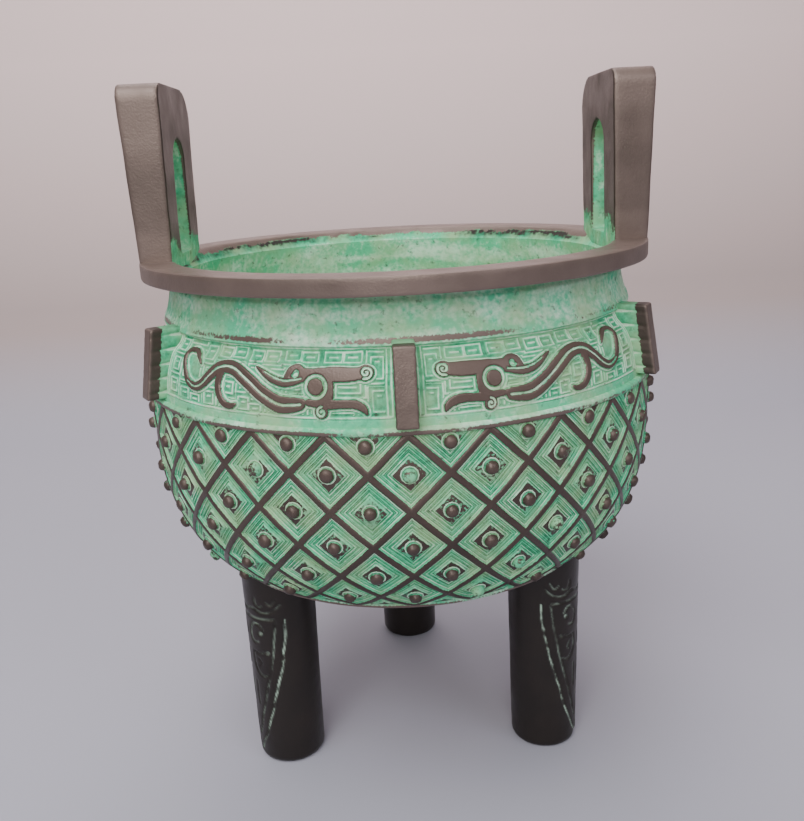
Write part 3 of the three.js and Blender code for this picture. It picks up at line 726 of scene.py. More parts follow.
class DING_OT_lozenges(bpy.types.Operator):
    """Lays out the field of ridged lozenges and bosses and wraps it round the bowl"""

    bl_idname = "ding.lozenges"
    bl_label = "Lozenge field"

    def execute(self, context):
        sizes = context.scene.ding_bowl
        ornament = context.scene.ding_ornament
        skin = skin_line(sizes)
        half_height = ornament.lozenge_half_height
        half_width = math.pi * sizes.belly_radius / FIELD_COLUMNS
        top = field_top(sizes)
        piece = lozenge_strip(half_width, half_height)
        self.wrap_strip(piece.data, skin, half_width, half_height, top)
        tidy_mesh(piece, merge=2 * MERGE)
        bosses = self.bosses(ornament, skin, top)
        take_up(piece)
        for boss in bosses:
            boss.select_set(True)
        bpy.ops.object.join()
        finish_piece(piece, "lozenge_field", "Cast bronze with mint patina", sharp=60)
        return {"FINISHED"}

    def wrap_strip(self, mesh, skin, half_width, half_height, top):
        flat = places(mesh)
        out = way_out(flat[:, 0], flat[:, 1], half_width, half_height)
        angle = (flat[:, 0] / half_width + 1) * math.pi / FIELD_COLUMNS
        level = on_bowl(skin, angle, top - flat[:, 1], 0)
        front = smooth_step(-2.4 * MM, -1.5 * MM, flat[:, 2])
        sway = [wander(level, 5 * MM, seed) * front for seed in (11, 12, 13)]
        angle = angle + sway[0] * 0.16 * MM / 90 / MM
        lift = flat[:, 2] + sway[2] * 0.1 * MM
        move_to(mesh, on_bowl(skin, angle, top - flat[:, 1] + sway[1] * 0.16 * MM, lift))
        worn = wander(level, 9 * MM, 14)
        ragged = out + 0.015 * wander(level, 1.5 * MM, 16)
        bare = smooth_step(0.855, 0.895, ragged) + smooth_step(0.455, 0.43, ragged) * (0.62 + 0.5 * worn)
        crest = 0.34 + 0.15 * worn
        for middle in GROOVES:
            crest -= (0.46 + 0.3 * worn) * smooth_step(0.014, 0.008, np.abs(out - middle))
        for middle, strength in PALE_THREADS:
            crest += strength * (1 + 0.5 * worn) * smooth_step(0.024, 0.016, np.abs(out - middle))
        # Painted shade on the bare metal, darker towards the bottom of the field
        shade = smooth_step(0, -FIELD_ROWS * half_height, flat[:, 1]) * 0.6 + 0.4
        paint(mesh, bare=bare, crest=crest, shade=shade)

    def bosses(self, ornament, skin, top):
        """A boss in every lozenge. The first row sits just under the border, which cuts its lozenges."""
        section = [(0, BOSS_ROOT), (BOSS_SECTION[0][0] * ornament.boss_radius, BOSS_ROOT)]
        section += [(share * ornament.boss_radius, rise * ornament.boss_lift) for share, rise in BOSS_SECTION]
        section.append((0, ornament.boss_lift))
        pattern = turned(section, steps=12)
        chance = np.random.default_rng(7)
        made = []
        for row in range(FIELD_ROWS):
            down = top + (row * ornament.lozenge_half_height if row else ornament.boss_radius * 1.25)
            # Painted shade on the bosses' bare metal, darker in the lower rows
            shade = 0.2 + 0.5 * row / FIELD_ROWS
            for column in range(FIELD_COLUMNS):
                angle = (column + 0.5 * ((row + 1) % 2)) * 2 * math.pi / FIELD_COLUMNS
                made.append(copy_of(pattern))
                self.set_boss(made[-1].data, ornament.boss_lift, skin, angle, down, shade, chance)
        bpy.data.objects.remove(pattern)
        return made

    def set_boss(self, mesh, most, skin, angle, down, shade, chance):
        """Sets a boss on the bowl, a little different in place, tilt, size, height and wear each time."""
        shift = chance.normal(0, 0.22, 2).clip(-0.5, 0.5) * MM
        tilt = chance.normal(0, 0.05, 2).clip(-0.12, 0.12)
        size = chance.uniform(0.92, 1.05)
        tall = chance.uniform(0.86, 1.0) if chance.random() > 0.12 else chance.uniform(0.55, 0.75)
        bare = chance.uniform(0.75, 1.0) if chance.random() > 0.16 else chance.uniform(0.3, 0.5)
        flat = places(mesh)
        rise = flat[:, 2] / MM
        angle = angle + (flat[:, 0] * size + shift[0]) / skin_point(skin, down, 0)[0]
        down = down - (flat[:, 1] * size + shift[1])
        lift = np.where(flat[:, 2] > 0, flat[:, 2] * tall, flat[:, 2])
        lift = lift + (flat[:, 0] * tilt[0] + flat[:, 1] * tilt[1]) * smooth_step(-0.5, 1, rise)
        lift = np.minimum(lift, most)
        dents = wander(on_bowl(skin, angle, down, lift), 1.6 * MM, 15) * smooth_step(-0.3, 0.6, rise)
        where = on_bowl(skin, angle, down, lift + (dents - 0.6) * 0.22 * MM)
        move_to(mesh, where)
        high = smooth_step(-0.5, 0.1, rise)
        collar = smooth_step(-0.5, -0.4, rise) * (1 - high)
        bare = high * (bare + 0.3 * wander(where, 2.5 * MM, 17))
        paint(mesh, bare=bare, crest=0.9 * collar + 0.4 * high, shade=np.full(len(flat), shade))


# Lines and spirals cut in the bronze, in millimetres


def smooth_line(points):
    """A smooth curve through points, sampled every quarter millimetre. A third number is the half width."""
    known = np.array(points, float)
    ends = [2 * known[:1] - known[1:2], known, 2 * known[-1:] - known[-2:-1]]
    known = np.concatenate(ends)
    samples = []
    for a, b, c, d in zip(known, known[1:], known[2:], known[3:]):
        count = int(math.hypot(*(c - b)[:2]) / 0.25) + 2
        t = np.linspace(0, 1, count, endpoint=False)[:, None]
        square, cube = 2 * a - 5 * b + 4 * c - d, 3 * b - a - 3 * c + d
        samples.append(b + ((c - a) * t + square * t**2 + cube * t**3) / 2)
    samples.append(known[-2:-1])
    return np.concatenate(samples)


def gap_to(lines, along, down):
    """How far each place is from the nearest line's edge, negative within it."""
    least = np.full(len(along), 99.0)
    for line in lines:
        samples = smooth_line(line)
        reach = 4 + samples[:, 2].max()
        low = samples[:, :2].min(axis=0) - reach
        high = samples[:, :2].max(axis=0) + reach
        near = (along > low[0]) & (along < high[0]) & (down > low[1]) & (down < high[1])
        off_along = along[near, None] - samples[None, :, 0]
        off_down = down[near, None] - samples[None, :, 1]
        gap = (np.hypot(off_along, off_down) - samples[None, :, 2]).min(axis=1)
        least[near] = np.minimum(least[near], gap)
    return least


def curl(along, down, radius, turn, turns=1.5, width=0.22):
    """A spiral line that winds in from a start angle in turns."""
    steps = np.linspace(0, 1, 14)
    angle = (turn + steps * turns) * 2 * math.pi
    out = radius * (1 - 0.86 * steps)
    return [(along + r * math.cos(a), down + r * math.sin(a), width) for r, a in zip(out, angle)]


def square_spiral(across, down, pitch):
    """How far each place is from the line of a square spiral round the middle."""
    sides = [across - pitch, down - pitch / 4, -across - pitch / 2, -down - 3 * pitch / 4]
    share = np.max(sides, axis=0) / pitch
    return np.abs(share - np.floor(share) - 0.5) * pitch


def thread(distance, middle, half=0.3, soft=0.16):
    """1 on a thread that runs at a distance from something, 0 off it."""
    return smooth_step(half + soft, half - soft, np.abs(distance - middle))


# The kui dragon: brown bands (along from the flange that it faces, down the frieze, half width)
DRAGON_BANDS = (
    ((30, 9.4, 1.9), (26.4, 9.4, 2.1), (22, 9.3, 2.3), (18, 9.25, 2.3), (14.6, 9.1, 2.15), (12.2, 8.8, 1.9)),
    ((11.4, 8.8, 2.5), (11.6, 8.8, 2.5)),
    ((22.6, 11.3, 1.3), (22.3, 13.7, 1.5), (22.8, 16, 1.7), (24.6, 17.6, 1.4), (28.6, 17.6, 1)),
    ((24, 18, 1.5), (20.2, 17.9, 1.35), (17.3, 17.8, 1.3), (14.2, 18.1, 1.35), (12.2, 19.2, 1.1),
     (11.2, 20.8, 0.45)),
    ((24.5, 20.2, 1.9), (24.7, 20.2, 1.9)),
    ((30.4, 17.6, 1.1), (30.6, 17.6, 1.1)),
    ((30.6, 11, 0.8), (34.8, 11.7, 1.35), (37.5, 11.9, 1.35), (40.6, 11.2, 1.2), (43.5, 9.7, 0.95),
     (46.6, 7.9, 0.4)),
    ((35.6, 10.4, 1), (34.6, 8.4, 1.1), (32.8, 7.4, 1.2), (31, 8.4, 1.1), (31.4, 9.7, 0.8)),
    ((31.5, 18.2, 1.9), (34.3, 18.5, 2.3), (37.7, 18.5, 2.5), (40.6, 17.5, 2.5), (44.4, 15.4, 2.4),
     (47.8, 13.2, 2.35), (51.4, 11, 2.3), (54.6, 9.3, 2.2), (58.6, 8.5, 2.15), (62, 9.4, 2),
     (65.5, 12.2, 1.75), (68.9, 15.1, 1.5), (72.7, 16.5, 1.3), (76.8, 15.1, 1.1), (79.5, 11.3, 0.9),
     (80.9, 7.4, 0.85), (79.4, 5, 0.85), (76, 5, 0.85), (73.6, 6.6, 0.85), (71.3, 9, 0.35)),
    ((60.5, 10.6, 1.2), (61.4, 13.7, 1.15), (61.2, 16.2, 1.15), (60, 18.6, 1.1), (58.1, 20.1, 1.05),
     (55.7, 20.4, 0.9), (53.8, 19.7, 0.45)),
)
# Pale lines cut in the brown bands
DRAGON_LINES = (
    ((31, 18.3, 0.28), (34.3, 18.5, 0.28), (37.7, 18.5, 0.28), (40.6, 17.5, 0.28), (44.4, 15.4, 0.28),
     (47.8, 13.2, 0.28), (51.4, 11, 0.28), (54.6, 9.3, 0.28), (58.6, 8.5, 0.28), (62, 9.4, 0.26),
     (65.5, 12.2, 0.24), (68.9, 15.1, 0.22), (72.7, 16.5, 0.18), (76.8, 15.1, 0.14)),
    ((31, 10.8, 0.2), (34.8, 11.3, 0.2), (37.5, 11.3, 0.2), (40.6, 10.5, 0.18), (43.5, 9.2, 0.12)),
    curl(11.4, 8.8, 2, 0.2, 1.5, 0.28),
    curl(24.5, 20.2, 1.6, 0.75, 1.2, 0.26),
    curl(33, 9.2, 1.2, 0.1, 1.1, 0.24),
)
EYE = (26.5, 13)
EYE_PUPIL = 2.45
EYE_RING = 3.7
# Under the dragon the ground is left plain
PLAIN_FROM = 22.6

# Square spirals in the ground: middle along and down, how far the core stretches each way, and handedness
SPIRALS = (
    (7.8, 7.4, 0.1, 2.2, 1),
    (7.8, 17.6, 0.1, 1.6, -1),
    (15.4, 3.9, 1, 0.1, 1),
    (22.2, 3.9, 0.9, 0.1, -1),
    (29, 3.9, 0.9, 0.1, 1),
    (35.6, 3.4, 0.8, 0.1, -1),
    (42.2, 4, 0.8, 0.1, 1),
    (48.8, 4.2, 0.6, 0.2, -1),
    (55.4, 3.6, 0.9, 0.1, 1),
    (62.2, 4, 0.8, 0.1, -1),
    (68.8, 5.2, 0.4, 0.8, 1),
    (76, 9.6, 3.2, 3.6, 1),
    (86.6, 4.4, 0.6, 0.3, 1),
    (87, 11.2, 0.2, 0.6, -1),
    (86.4, 18.4, 0.5, 0.6, 1),
    (79.6, 20, 0.5, 0.3, -1),
    (72.8, 21, 0.6, 0.1, 1),
    (66.4, 19.6, 0.2, 0.5, -1),
    (57, 15.4, 0.1, 0.3, 1),
    (51.4, 19.6, 0.1, 0.4, -1),
    (46.4, 21, 0.3, 0.1, 1),
    (17, 13.5, 2.6, 0.1, 1),
    (49, 8.6, 0.1, 0.2, -1),
)


def spiral_ground(along, down, pitch):
    """How far each place is from the line of the spiral that it belongs to."""
    nearest = np.full(len(along), 99.0)
    gap = np.full(len(along), 99.0)
    for middle, level, wide, tall, hand in SPIRALS:
        across = (along - middle) * hand
        core_across = np.sign(across) * np.maximum(np.abs(across) - wide, 0)
        rise = down - level
        core_down = np.sign(rise) * np.maximum(np.abs(rise) - tall, 0)
        reach = np.maximum(np.abs(core_across), np.abs(core_down))
        own = reach < nearest
        gap = np.where(own, square_spiral(core_across, core_down, pitch), gap)
        nearest = np.minimum(nearest, reach)
    return gap


def carve_dragon(along, down, span, flange_half, pitch):
    """Height from 0 at the ground to 1 at the skin, bareness, and paleness of the relief in a panel."""
    brown = gap_to(DRAGON_BANDS, along, down)
    eye = np.hypot(along - EYE[0], down - EYE[1])
    outline = np.minimum(brown, eye - EYE_RING)
    brown = np.maximum(brown, EYE_RING - eye)
    brown = np.minimum(brown, eye - EYE_PUPIL)
    flat = smooth_step(0.16, -0.12, brown)
    ring = thread(eye, (EYE_PUPIL + EYE_RING) / 2 + 0.1, 0.42)
    sides = np.minimum(along, span - along) - flange_half
    edge = np.minimum(np.minimum(down - 0.3, PLAIN_FROM - down), sides)
    lines = thread(outline, 0.5, 0.3)
    frames = np.maximum(thread(edge, 0.6, 0.34), thread(sides, 0.6 + pitch, 0.3) * (edge > 0.6))
    spirals = thread(spiral_ground(along, down, pitch), 0, 0.29, 0.14)
    free = smooth_step(0.95, 1.2, outline) * smooth_step(1.15, 1.4, edge) * smooth_step(2.6, 2.9, sides)
    threads = np.maximum(np.maximum(lines, frames * smooth_step(0.1, 0.4, outline)), spirals * free)
    threads = np.maximum(threads, ring)
    cut = smooth_step(0.22, -0.05, gap_to(DRAGON_LINES, along, down)) * flat
    plain = smooth_step(PLAIN_FROM - 0.4, PLAIN_FROM + 0.2, down) * (1 - flat)
    high = flat * (1 - 0.5 * cut) + (1 - flat) * np.maximum(threads * 0.42, plain * 0.3)
    pale = np.maximum(np.maximum(threads * (1 - flat), cut), plain * 0.5)
    return high, flat * (1 - cut), 0.1 + 0.9 * pale


class DING_OT_frieze(bpy.types.Operator):
    """Carves the six frieze panels, each with a kui dragon on a ground of square spirals"""

    bl_idname = "ding.frieze"
    bl_label = "Dragon frieze"

    grain: length("Grain", 0.27, "Spacing of the carved surface")

    def execute(self, context):
        sizes = context.scene.ding_bowl
        skin = skin_line(sizes)
        number = 0
        for flange_angle in (0, 2 * math.pi / 3, 4 * math.pi / 3):
            for side in (1, -1):
                number += 1
                piece = self.panel(sizes, context.scene.ding_ornament, skin, flange_angle, side, number)
                finish_piece(piece, f"frieze_panel_{number}", "Cast bronze with mint patina")
        return {"FINISHED"}

    def panel(self, sizes, ornament, skin, flange_angle, side, number):
        """A grid that is wrapped into a closed slab: its front carved, its back inside the wall."""
        start_fresh()
        span = 2 * math.pi / FLANGES * sizes.belly_radius
        width = span - 2 * MM
        low, high = -0.2 * MM, sizes.frieze_band + 0.25 * MM
        columns = round(width / self.grain)
        rows = round((high - low) / self.grain)
        back_rows = 8
        bpy.ops.mesh.primitive_grid_add(x_subdivisions=columns, y_subdivisions=rows + back_rows, size=1)
        piece = bpy.context.object
        flat = places(piece.data)
        column = np.round((flat[:, 0] + 0.5) * columns)
        row = np.round((flat[:, 1] + 0.5) * (rows + back_rows))
        along = MM + column / columns * width
        behind = high - (row - rows) / back_rows * (high - low)
        down = np.where(row <= rows, low + row / rows * (high - low), behind)
        front = (row > 0) & (row <= rows)
        angle = flange_angle + side * along / sizes.belly_radius
        level = on_bowl(skin, angle, sizes.neck_band + down, 0)[front]
        sway = [wander(level, 6 * MM, number * 3 + seed) * 0.22 for seed in (0, 1)]
        panel_sizes = [span / MM, ornament.flange_width / 2 / MM, ornament.thread_pitch / MM]
        carved = carve_dragon(along[front] / MM + sway[0], down[front] / MM + sway[1], *panel_sizes)
        uneven = wander(level, 5 * MM, number + 40)
        worn = wander(level, 7 * MM, number + 50)
        lift = np.full(len(flat), BACK)
        bare = np.zeros(len(flat))
        crest = np.zeros(len(flat))
        lift[front] = -sizes.relief_depth * (1 - carved[0]) + 0.08 * MM * uneven
        bare[front] = carved[1] * (0.92 + 0.25 * worn)
        crest[front] = carved[2] * (0.85 + 0.3 * worn)
        move_to(piece.data, on_bowl(skin, angle, sizes.neck_band + down, lift))
        paint(piece.data, bare=bare, crest=crest)
        open_mesh()
        bpy.ops.mesh.remove_doubles(threshold=MERGE)
        bpy.ops.mesh.select_all(action="DESELECT")
        bpy.ops.mesh.select_non_manifold()
        bpy.ops.mesh.fill_holes(sides=0)
        close_mesh()
        tidy_mesh(piece)
        return piece


# Flanges, ears and legs


def remesh(piece, voxel, smoothing):
    """Turns a rough solid into an even, softly rounded skin."""
    bpy.context.view_layer.objects.active = piece
    even = piece.modifiers.new("Even", "REMESH")
    even.mode = "VOXEL"
    even.voxel_size = voxel
    bpy.ops.object.modifier_apply(modifier=even.name)
    soft = piece.modifiers.new("Soft", "SMOOTH")
    soft.factor = 0.5
    soft.iterations = smoothing
    bpy.ops.object.modifier_apply(modifier=soft.name)


def turn_to(mesh, angle):
    """Turns a mesh about the middle of the vessel."""
    mesh.transform(Matrix.Rotation(angle, 4, "Z"))


class DING_OT_flanges(bpy.types.Operator):
    """Makes the six grooved flanges between the frieze panels"""

    bl_idname = "ding.flanges"
    bl_label = "Flanges"

    def execute(self, context):
        sizes = context.scene.ding_bowl
        ornament = context.scene.ding_ornament
        skin = skin_line(sizes)
        pattern = self.flange(sizes, ornament, skin)
        for number in range(FLANGES):
            piece = copy_of(pattern)
            self.wear(piece.data, number)
            turn_to(piece.data, number * 2 * math.pi / FLANGES)
            finish_piece(piece, f"flange_{number + 1}", "Brown cast bronze")
        bpy.data.objects.remove(pattern)
        return {"FINISHED"}

    def flange(self, sizes, ornament, skin):
        """The flange at the front: a notched outline pushed out, then fitted to the skin and softened."""
        overrun = 1.2 * MM
        grooves = 5
        head = skin_point(skin, sizes.neck_band - overrun, 0)
        foot = skin_point(skin, sizes.neck_band + sizes.frieze_band - overrun, 0)
        half = ornament.flange_width / 2
        pitch = (head[1] - foot[1]) / grooves
        outline = [(half, foot[1])]
        for number in range(grooves):
            middle = foot[1] + (number + 0.5) * pitch
            for rise, depth in ((-0.8, 0), (-0.45, 1), (0.45, 1), (0.8, 0)):
                outline.append((half - depth * ornament.flange_notch, middle + rise * MM))
        outline.append((half, head[1]))
        outline += [(-x, z) for x, z in reversed(outline)]
        piece = draw_line([(x, 0, z) for x, z in outline], closed=True)
        open_mesh()
        bpy.ops.mesh.edge_face_add()
        bpy.ops.mesh.extrude_region_move(TRANSFORM_OT_translate={"value": (0, -10 * MM, 0)})
        close_mesh()
        where = places(piece.data)
        outer = where[:, 1] < -5 * MM
        share = (head[1] - where[:, 2]) / (head[1] - foot[1])
        skin_radius = head[0] + (foot[0] - head[0]) * share
        proud = ornament.flange_proud_top + (ornament.flange_proud_foot - ornament.flange_proud_top) * share
        # The notches fade out to a nearly straight front face
        notched = np.abs(where[:, 0]) < half - 0.1 * MM
        filled = where[:, 0] * (half - 0.1 * MM) / (half - ornament.flange_notch)
        where[:, 0] = np.where(outer & notched, filled, where[:, 0])
        where[:, 1] = -np.where(outer, skin_radius + proud, skin_radius - 2.6 * MM)
        move_to(piece.data, where)
        tidy_mesh(piece)
        remesh(piece, 0.42 * MM, 2)
        where = places(piece.data)
        share = np.clip((head[1] - where[:, 2]) / (head[1] - foot[1]), 0, 1)
        face = head[0] + ornament.flange_proud_top
        face = face + (foot[0] + ornament.flange_proud_foot - face) * share
        deep = face + where[:, 1]
        width = half - np.abs(where[:, 0])
        groove = smooth_step(0.25 * MM, 0.5 * MM, width) * smooth_step(0.3 * MM, 0.9 * MM, deep)
        groove *= smooth_step(head[1] - 0.2 * MM, head[1] - 0.6 * MM, where[:, 2])
        brown = smooth_step(4.6 * MM, 3 * MM, deep) * (1 - groove) + smooth_step(1.3 * MM, 0.7 * MM, deep)
        # Painted shade on the bare metal: a little on the front face, more down the sides
        shade = 0.2 + smooth_step(0.3 * MM, 1.2 * MM, deep) * 0.5
        paint(piece.data, bare=np.clip(brown, 0, 1), crest=0.2 + 0.8 * groove, shade=shade)
        return piece

    def wear(self, mesh, number):
        """Dents a flange a little, but never past its outermost face."""
        where = places(mesh)
        dents = np.stack([wander(where, 3 * MM, number * 3 + axis + 70) for axis in range(3)], axis=-1)
        moved = where + dents * 0.05 * MM
        moved[:, 1] = np.maximum(moved[:, 1], where[:, 1].min())
        move_to(mesh, moved)


class DING_OT_ears(bpy.types.Operator):
    """Makes the two upright ears with their windows"""

    bl_idname = "ding.ears"
    bl_label = "Ears"

    def execute(self, context):
        sizes = context.scene.ding_bowl
        limbs = context.scene.ding_limbs
        for name, side, seed in (("ear_right", 1, 81), ("ear_left", -1, 91)):
            piece = self.slab(limbs, side)
            self.shape(piece.data, sizes, limbs, seed)
            turn_to(piece.data, 0 if side == 1 else math.pi)
            finish_piece(piece, name, "Brown cast bronze")
        return {"FINISHED"}

    def slab(self, limbs, side):
        """The slab lies in a plane of across and up, and is bridged between its outline and its window."""
        top = limbs.ear_height - (limbs.ear_right_drop if side == 1 else 0)
        corners = [limbs.ear_corner, limbs.ear_front_corner][::side]
        window = [limbs.window_corner] * 2
        hole = arch(limbs.window_width / 2, limbs.window_sill, limbs.window_height, window)
        piece = arch(limbs.ear_width / 2, -limbs.ear_sink, top, corners)
        hole.select_set(True)
        bpy.ops.object.join()
        open_mesh()
        bpy.ops.mesh.bridge_edge_loops()
        bpy.ops.mesh.extrude_region_move(TRANSFORM_OT_translate={"value": (limbs.ear_thickness, 0, 0)})
        close_mesh()
        tidy_mesh(piece)
        remesh(piece, 0.7 * MM, 4)
        return piece

    def shape(self, mesh, sizes, limbs, seed):
        """Leans the faces out, dresses the surface by hand, and paints bare metal, green patina and painted
        shade.
        """
        where = places(mesh)
        middle = limbs.ear_thickness / 2
        share = np.clip(where[:, 2], 0, None) / limbs.ear_height
        where[:, 0] += (where[:, 0] - middle) / middle * limbs.ear_flare * share
        broad = wander(where, 11 * MM, seed)
        fine = wander(where, 3 * MM, seed + 1)
        where[:, 0] += (0.16 * broad + 0.05 * fine) * MM
        where[:, 1] += 0.12 * MM * wander(where, 9 * MM, seed + 2)
        inner = smooth_step(-0.4, -0.8, normals(mesh)[:, 0])
        half = limbs.window_width / 2
        window = (np.abs(where[:, 1]) < half + 0.8 * MM) & (where[:, 2] < limbs.window_height + 0.8 * MM)
        within = smooth_step(half + 0.9 * MM, half + 0.1 * MM, np.abs(where[:, 1])) * window
        from_face = np.minimum(where[:, 0], limbs.ear_thickness - where[:, 0])
        within *= smooth_step(0, 1.8 * MM, from_face + 0.6 * MM)
        low = smooth_step(15 * MM, 0, where[:, 2] - 7 * MM * broad) * inner
        green = np.clip(np.maximum(within, low * 0.9), 0, 1)
        rise = where[:, 2] / limbs.ear_height
        # Painted shade on the bare metal: darker on the inner face and across the middle of the height,
        # lighter at foot and top, with some random tone
        darker = 0.3 * smooth_step(0.12, 0.2, rise) * smooth_step(0.9, 0.35, rise) + 0.95 * inner
        crest = green * (0.45 + 0.5 * wander(where, 4 * MM, seed + 3))
        paint(mesh, bare=1 - green, crest=crest, shade=np.clip(darker + 0.12 * broad, 0, 1))
        where[:, 2] = np.minimum(where[:, 2], limbs.ear_height)
        where[:, 0] += limbs.ear_outer_face - limbs.ear_thickness
        where[:, 2] += sizes.rim_top
        move_to(mesh, where)


def arc(x, y, radius, start, end, steps=10):
    angles = np.radians(np.linspace(start, end, steps + 1))
    return [(x + radius * math.cos(a), y + radius * math.sin(a)) for a in angles]


def arch(half, foot, top, corners):
    """A closed line of across and up, with a straight foot and two rounded top corners."""
    outline = [(-half, foot), (half, foot)]
    outline += arc(half - corners[0], top - corners[0], corners[0], 0, 90)
    outline += arc(corners[1] - half, top - corners[1], corners[1], 90, 180)
    return draw_line([(0, across, up) for across, up in outline], closed=True)


# Half of the blade cut in each leg: across from the middle of the outer side, up from the foot, half width.
# The first line is its edge, which holds the most salts
BLADE_LINES = (
    ((-16.7, 61, 0.36), (-15.9, 52.4, 0.36), (-13.7, 41, 0.36), (-10.2, 28.4, 0.34), (-6.2, 15.6, 0.3),
     (0, 3.2, 0.25)),
    ((-13.2, 60.4, 0.36), (-12, 52.6, 0.36), (-9.8, 40.8, 0.36), (-7.1, 31, 0.34), (-2.6, 16.8, 0.3),
     (0, 10, 0.25)),
    ((-12.8, 61.4, 0.36), (0, 61.4, 0.36)),
    ((-15.2, 67.4, 0.36), (-12, 64.8, 0.4), (-8.2, 64, 0.4), (-4, 65.4, 0.36), (0, 64.2, 0.36)),
    ((-13.6, 69.6, 0.3), (-11.8, 67.4, 0.36), (-10, 68.4, 0.3)),
    ((-8.2, 66.8, 0.34), (-6.8, 66.2, 0.34), (-5.4, 67.6, 0.34), (-5.2, 69.6, 0.3)),
    ((-6.9, 55.2, 0.8), (-6.7, 55, 0.8)),
    ((-7.9, 56.6, 0.34), (-6.6, 58.6, 0.34), (-4.2, 58.8, 0.34), (-2, 56.4, 0.34), (-1.7, 53, 0.34),
     (-3.2, 51.2, 0.34), (-5.4, 51.6, 0.3)),
    ((-8.9, 47.7, 0.7), (-8.7, 47.5, 0.7)),
    ((-7.4, 47.6, 0.3), (-5, 46.6, 0.34), (-2.2, 46.6, 0.34), (-1.9, 42.8, 0.34), (-3.1, 39.2, 0.34),
     (-5.8, 37.4, 0.34), (-8.2, 38.2, 0.3)),
    ((-4.6, 44.2, 0.3), (-5.8, 42.6, 0.3), (-4.8, 41.2, 0.26)),
    ((-1.8, 34, 0.26), (-1.7, 29, 0.3), (-1.9, 24.6, 0.22)),
)


class DING_OT_legs(bpy.types.Operator):
    """Turns the three legs and cuts a blade of scrolls in the outer side of each"""

    bl_idname = "ding.legs"
    bl_label = "Legs"

    def execute(self, context):
        sizes = context.scene.ding_bowl
        limbs = context.scene.ding_limbs
        skin = skin_line(sizes)
        for number, name in enumerate(("leg_back", "leg_left", "leg_right")):
            piece = self.post(limbs)
            self.cut(piece.data, limbs, number)
            piece.data.transform(Matrix.Translation((0, -limbs.leg_circle, 0)))
            turn_to(piece.data, math.pi + number * 2 * math.pi / 3)
            self.fit_to_bowl(piece.data, skin)
            finish_piece(piece, name, "Black waxed bronze")
        return {"FINISHED"}

    def post(self, limbs):
        foot = limbs.leg_foot_radius
        section = [(0, 0), (foot * 0.4, 0), (foot - 2.4 * MM, 0), (foot - 1.4 * MM, 0.2 * MM)]
        section += [(foot - 0.55 * MM, 0.75 * MM), (foot - 0.1 * MM, 1.6 * MM)]
        levels = np.arange(2.4 * MM, 90 * MM, 0.55 * MM)
        radii = foot + (limbs.leg_top_radius - foot) * levels / limbs.leg_top
        section += [*zip(radii, levels), (0, levels[-1])]
        return turned(section, steps=150)

    def cut(self, mesh, limbs, number):
        """Cuts the blade in the side that faces -Y, wears the surface and knocks a chip off the foot."""
        where = places(mesh)
        radius = np.hypot(where[:, 0], where[:, 1])
        angle = np.arctan2(where[:, 0], -where[:, 1])
        mean_radius = 13
        across = -np.abs(angle) * mean_radius
        up = where[:, 2] / MM
        sway = wander(where, 7 * MM, number + 101) * 0.3
        gap = gap_to(BLADE_LINES, across + sway, up + sway)
        cut = smooth_step(0.3, -0.25, gap) * (radius > limbs.leg_foot_radius * 0.7)
        uneven = 0.12 * wander(where, 14 * MM, number + 105) + 0.06 * wander(where, 4 * MM, number + 106)
        off_chip = np.hypot(where[:, 2] * 0.8, radius * (angle + 0.9 - number * 0.5))
        chip = smooth_step(3.4 * MM, 0.5 * MM, off_chip) * MM
        depth = cut * limbs.cut_depth + (0.12 - uneven) * MM + chip
        shrink = 1 - depth / np.maximum(radius, 6 * MM)
        shrink = np.where(radius > 3 * MM, shrink, 1)
        where[:, :2] *= shrink[:, None]
        move_to(mesh, where)
        left = wander(where, 9 * MM, number + 110)
        outer = gap_to(BLADE_LINES[:1], across + sway, up + sway)
        salts = np.maximum(smooth_step(0.15, -0.3, outer), smooth_step(0.15, -0.3, gap) * (0.3 + 0.5 * left))
        paint(mesh, crest=salts * (0.95 + 0.5 * left))

    def fit_to_bowl(self, mesh, skin):
        """Stops the leg's top inside the thickness of the bowl's wall."""
        where = places(mesh)
        radius = np.hypot(where[:, 0], where[:, 1])
        lower = skin["height"] < skin["height"][0] * 0.7
        level = np.interp(radius, skin["radius"][lower][::-1], skin["height"][lower][::-1])
        where[:, 2] = np.minimum(where[:, 2], level + 2.5 * MM)
        move_to(mesh, where)


# Stage, light and camera

VESSEL_MIDDLE = (0, 0, 0.12)
PAPER_MIDDLE = (0, 0.75, 0.55)

# Name, place, aim, diameter, power and colour
SOFTBOXES = (
    ("Key softbox", (-0.35, -0.5, 1.25), VESSEL_MIDDLE, 0.8, 11, "#FFFFFF"),
    ("Front softbox", (-0.2, -1.05, 0.75), VESSEL_MIDDLE, 0.9, 10.5, "#FFFDF8"),
    ("Side softbox", (0.8, -0.75, 0.8), VESSEL_MIDDLE, 0.7, 3, "#F6F3FF"),
    ("Back softbox", (-0.1, 0.55, 1.1), VESSEL_MIDDLE, 0.7, 4, "#FFFFFF"),
    ("Backdrop softbox", (0, 0.2, 1.0), PAPER_MIDDLE, 0.5, 3, "#FFF2F0"),
)
ROOM_COLOUR = "#D2CDCF"
ROOM_STRENGTH = 0.36

# The photograph's viewpoint, worked out from the rim, feet, ears and rows of bosses, in metres and degrees
VIEW_DISTANCE = 0.3244
VIEW_HEIGHT = 0.2191
VIEW_TURN = -0.9
VIEW_HEADING = -0.93
VIEW_PITCH = 16.1
VIEW_ROLL = -2.8
# Its focal length and height in pixels
VIEW_FOCUS = 873.7
VIEW_PIXELS = 821
SENSOR = 36


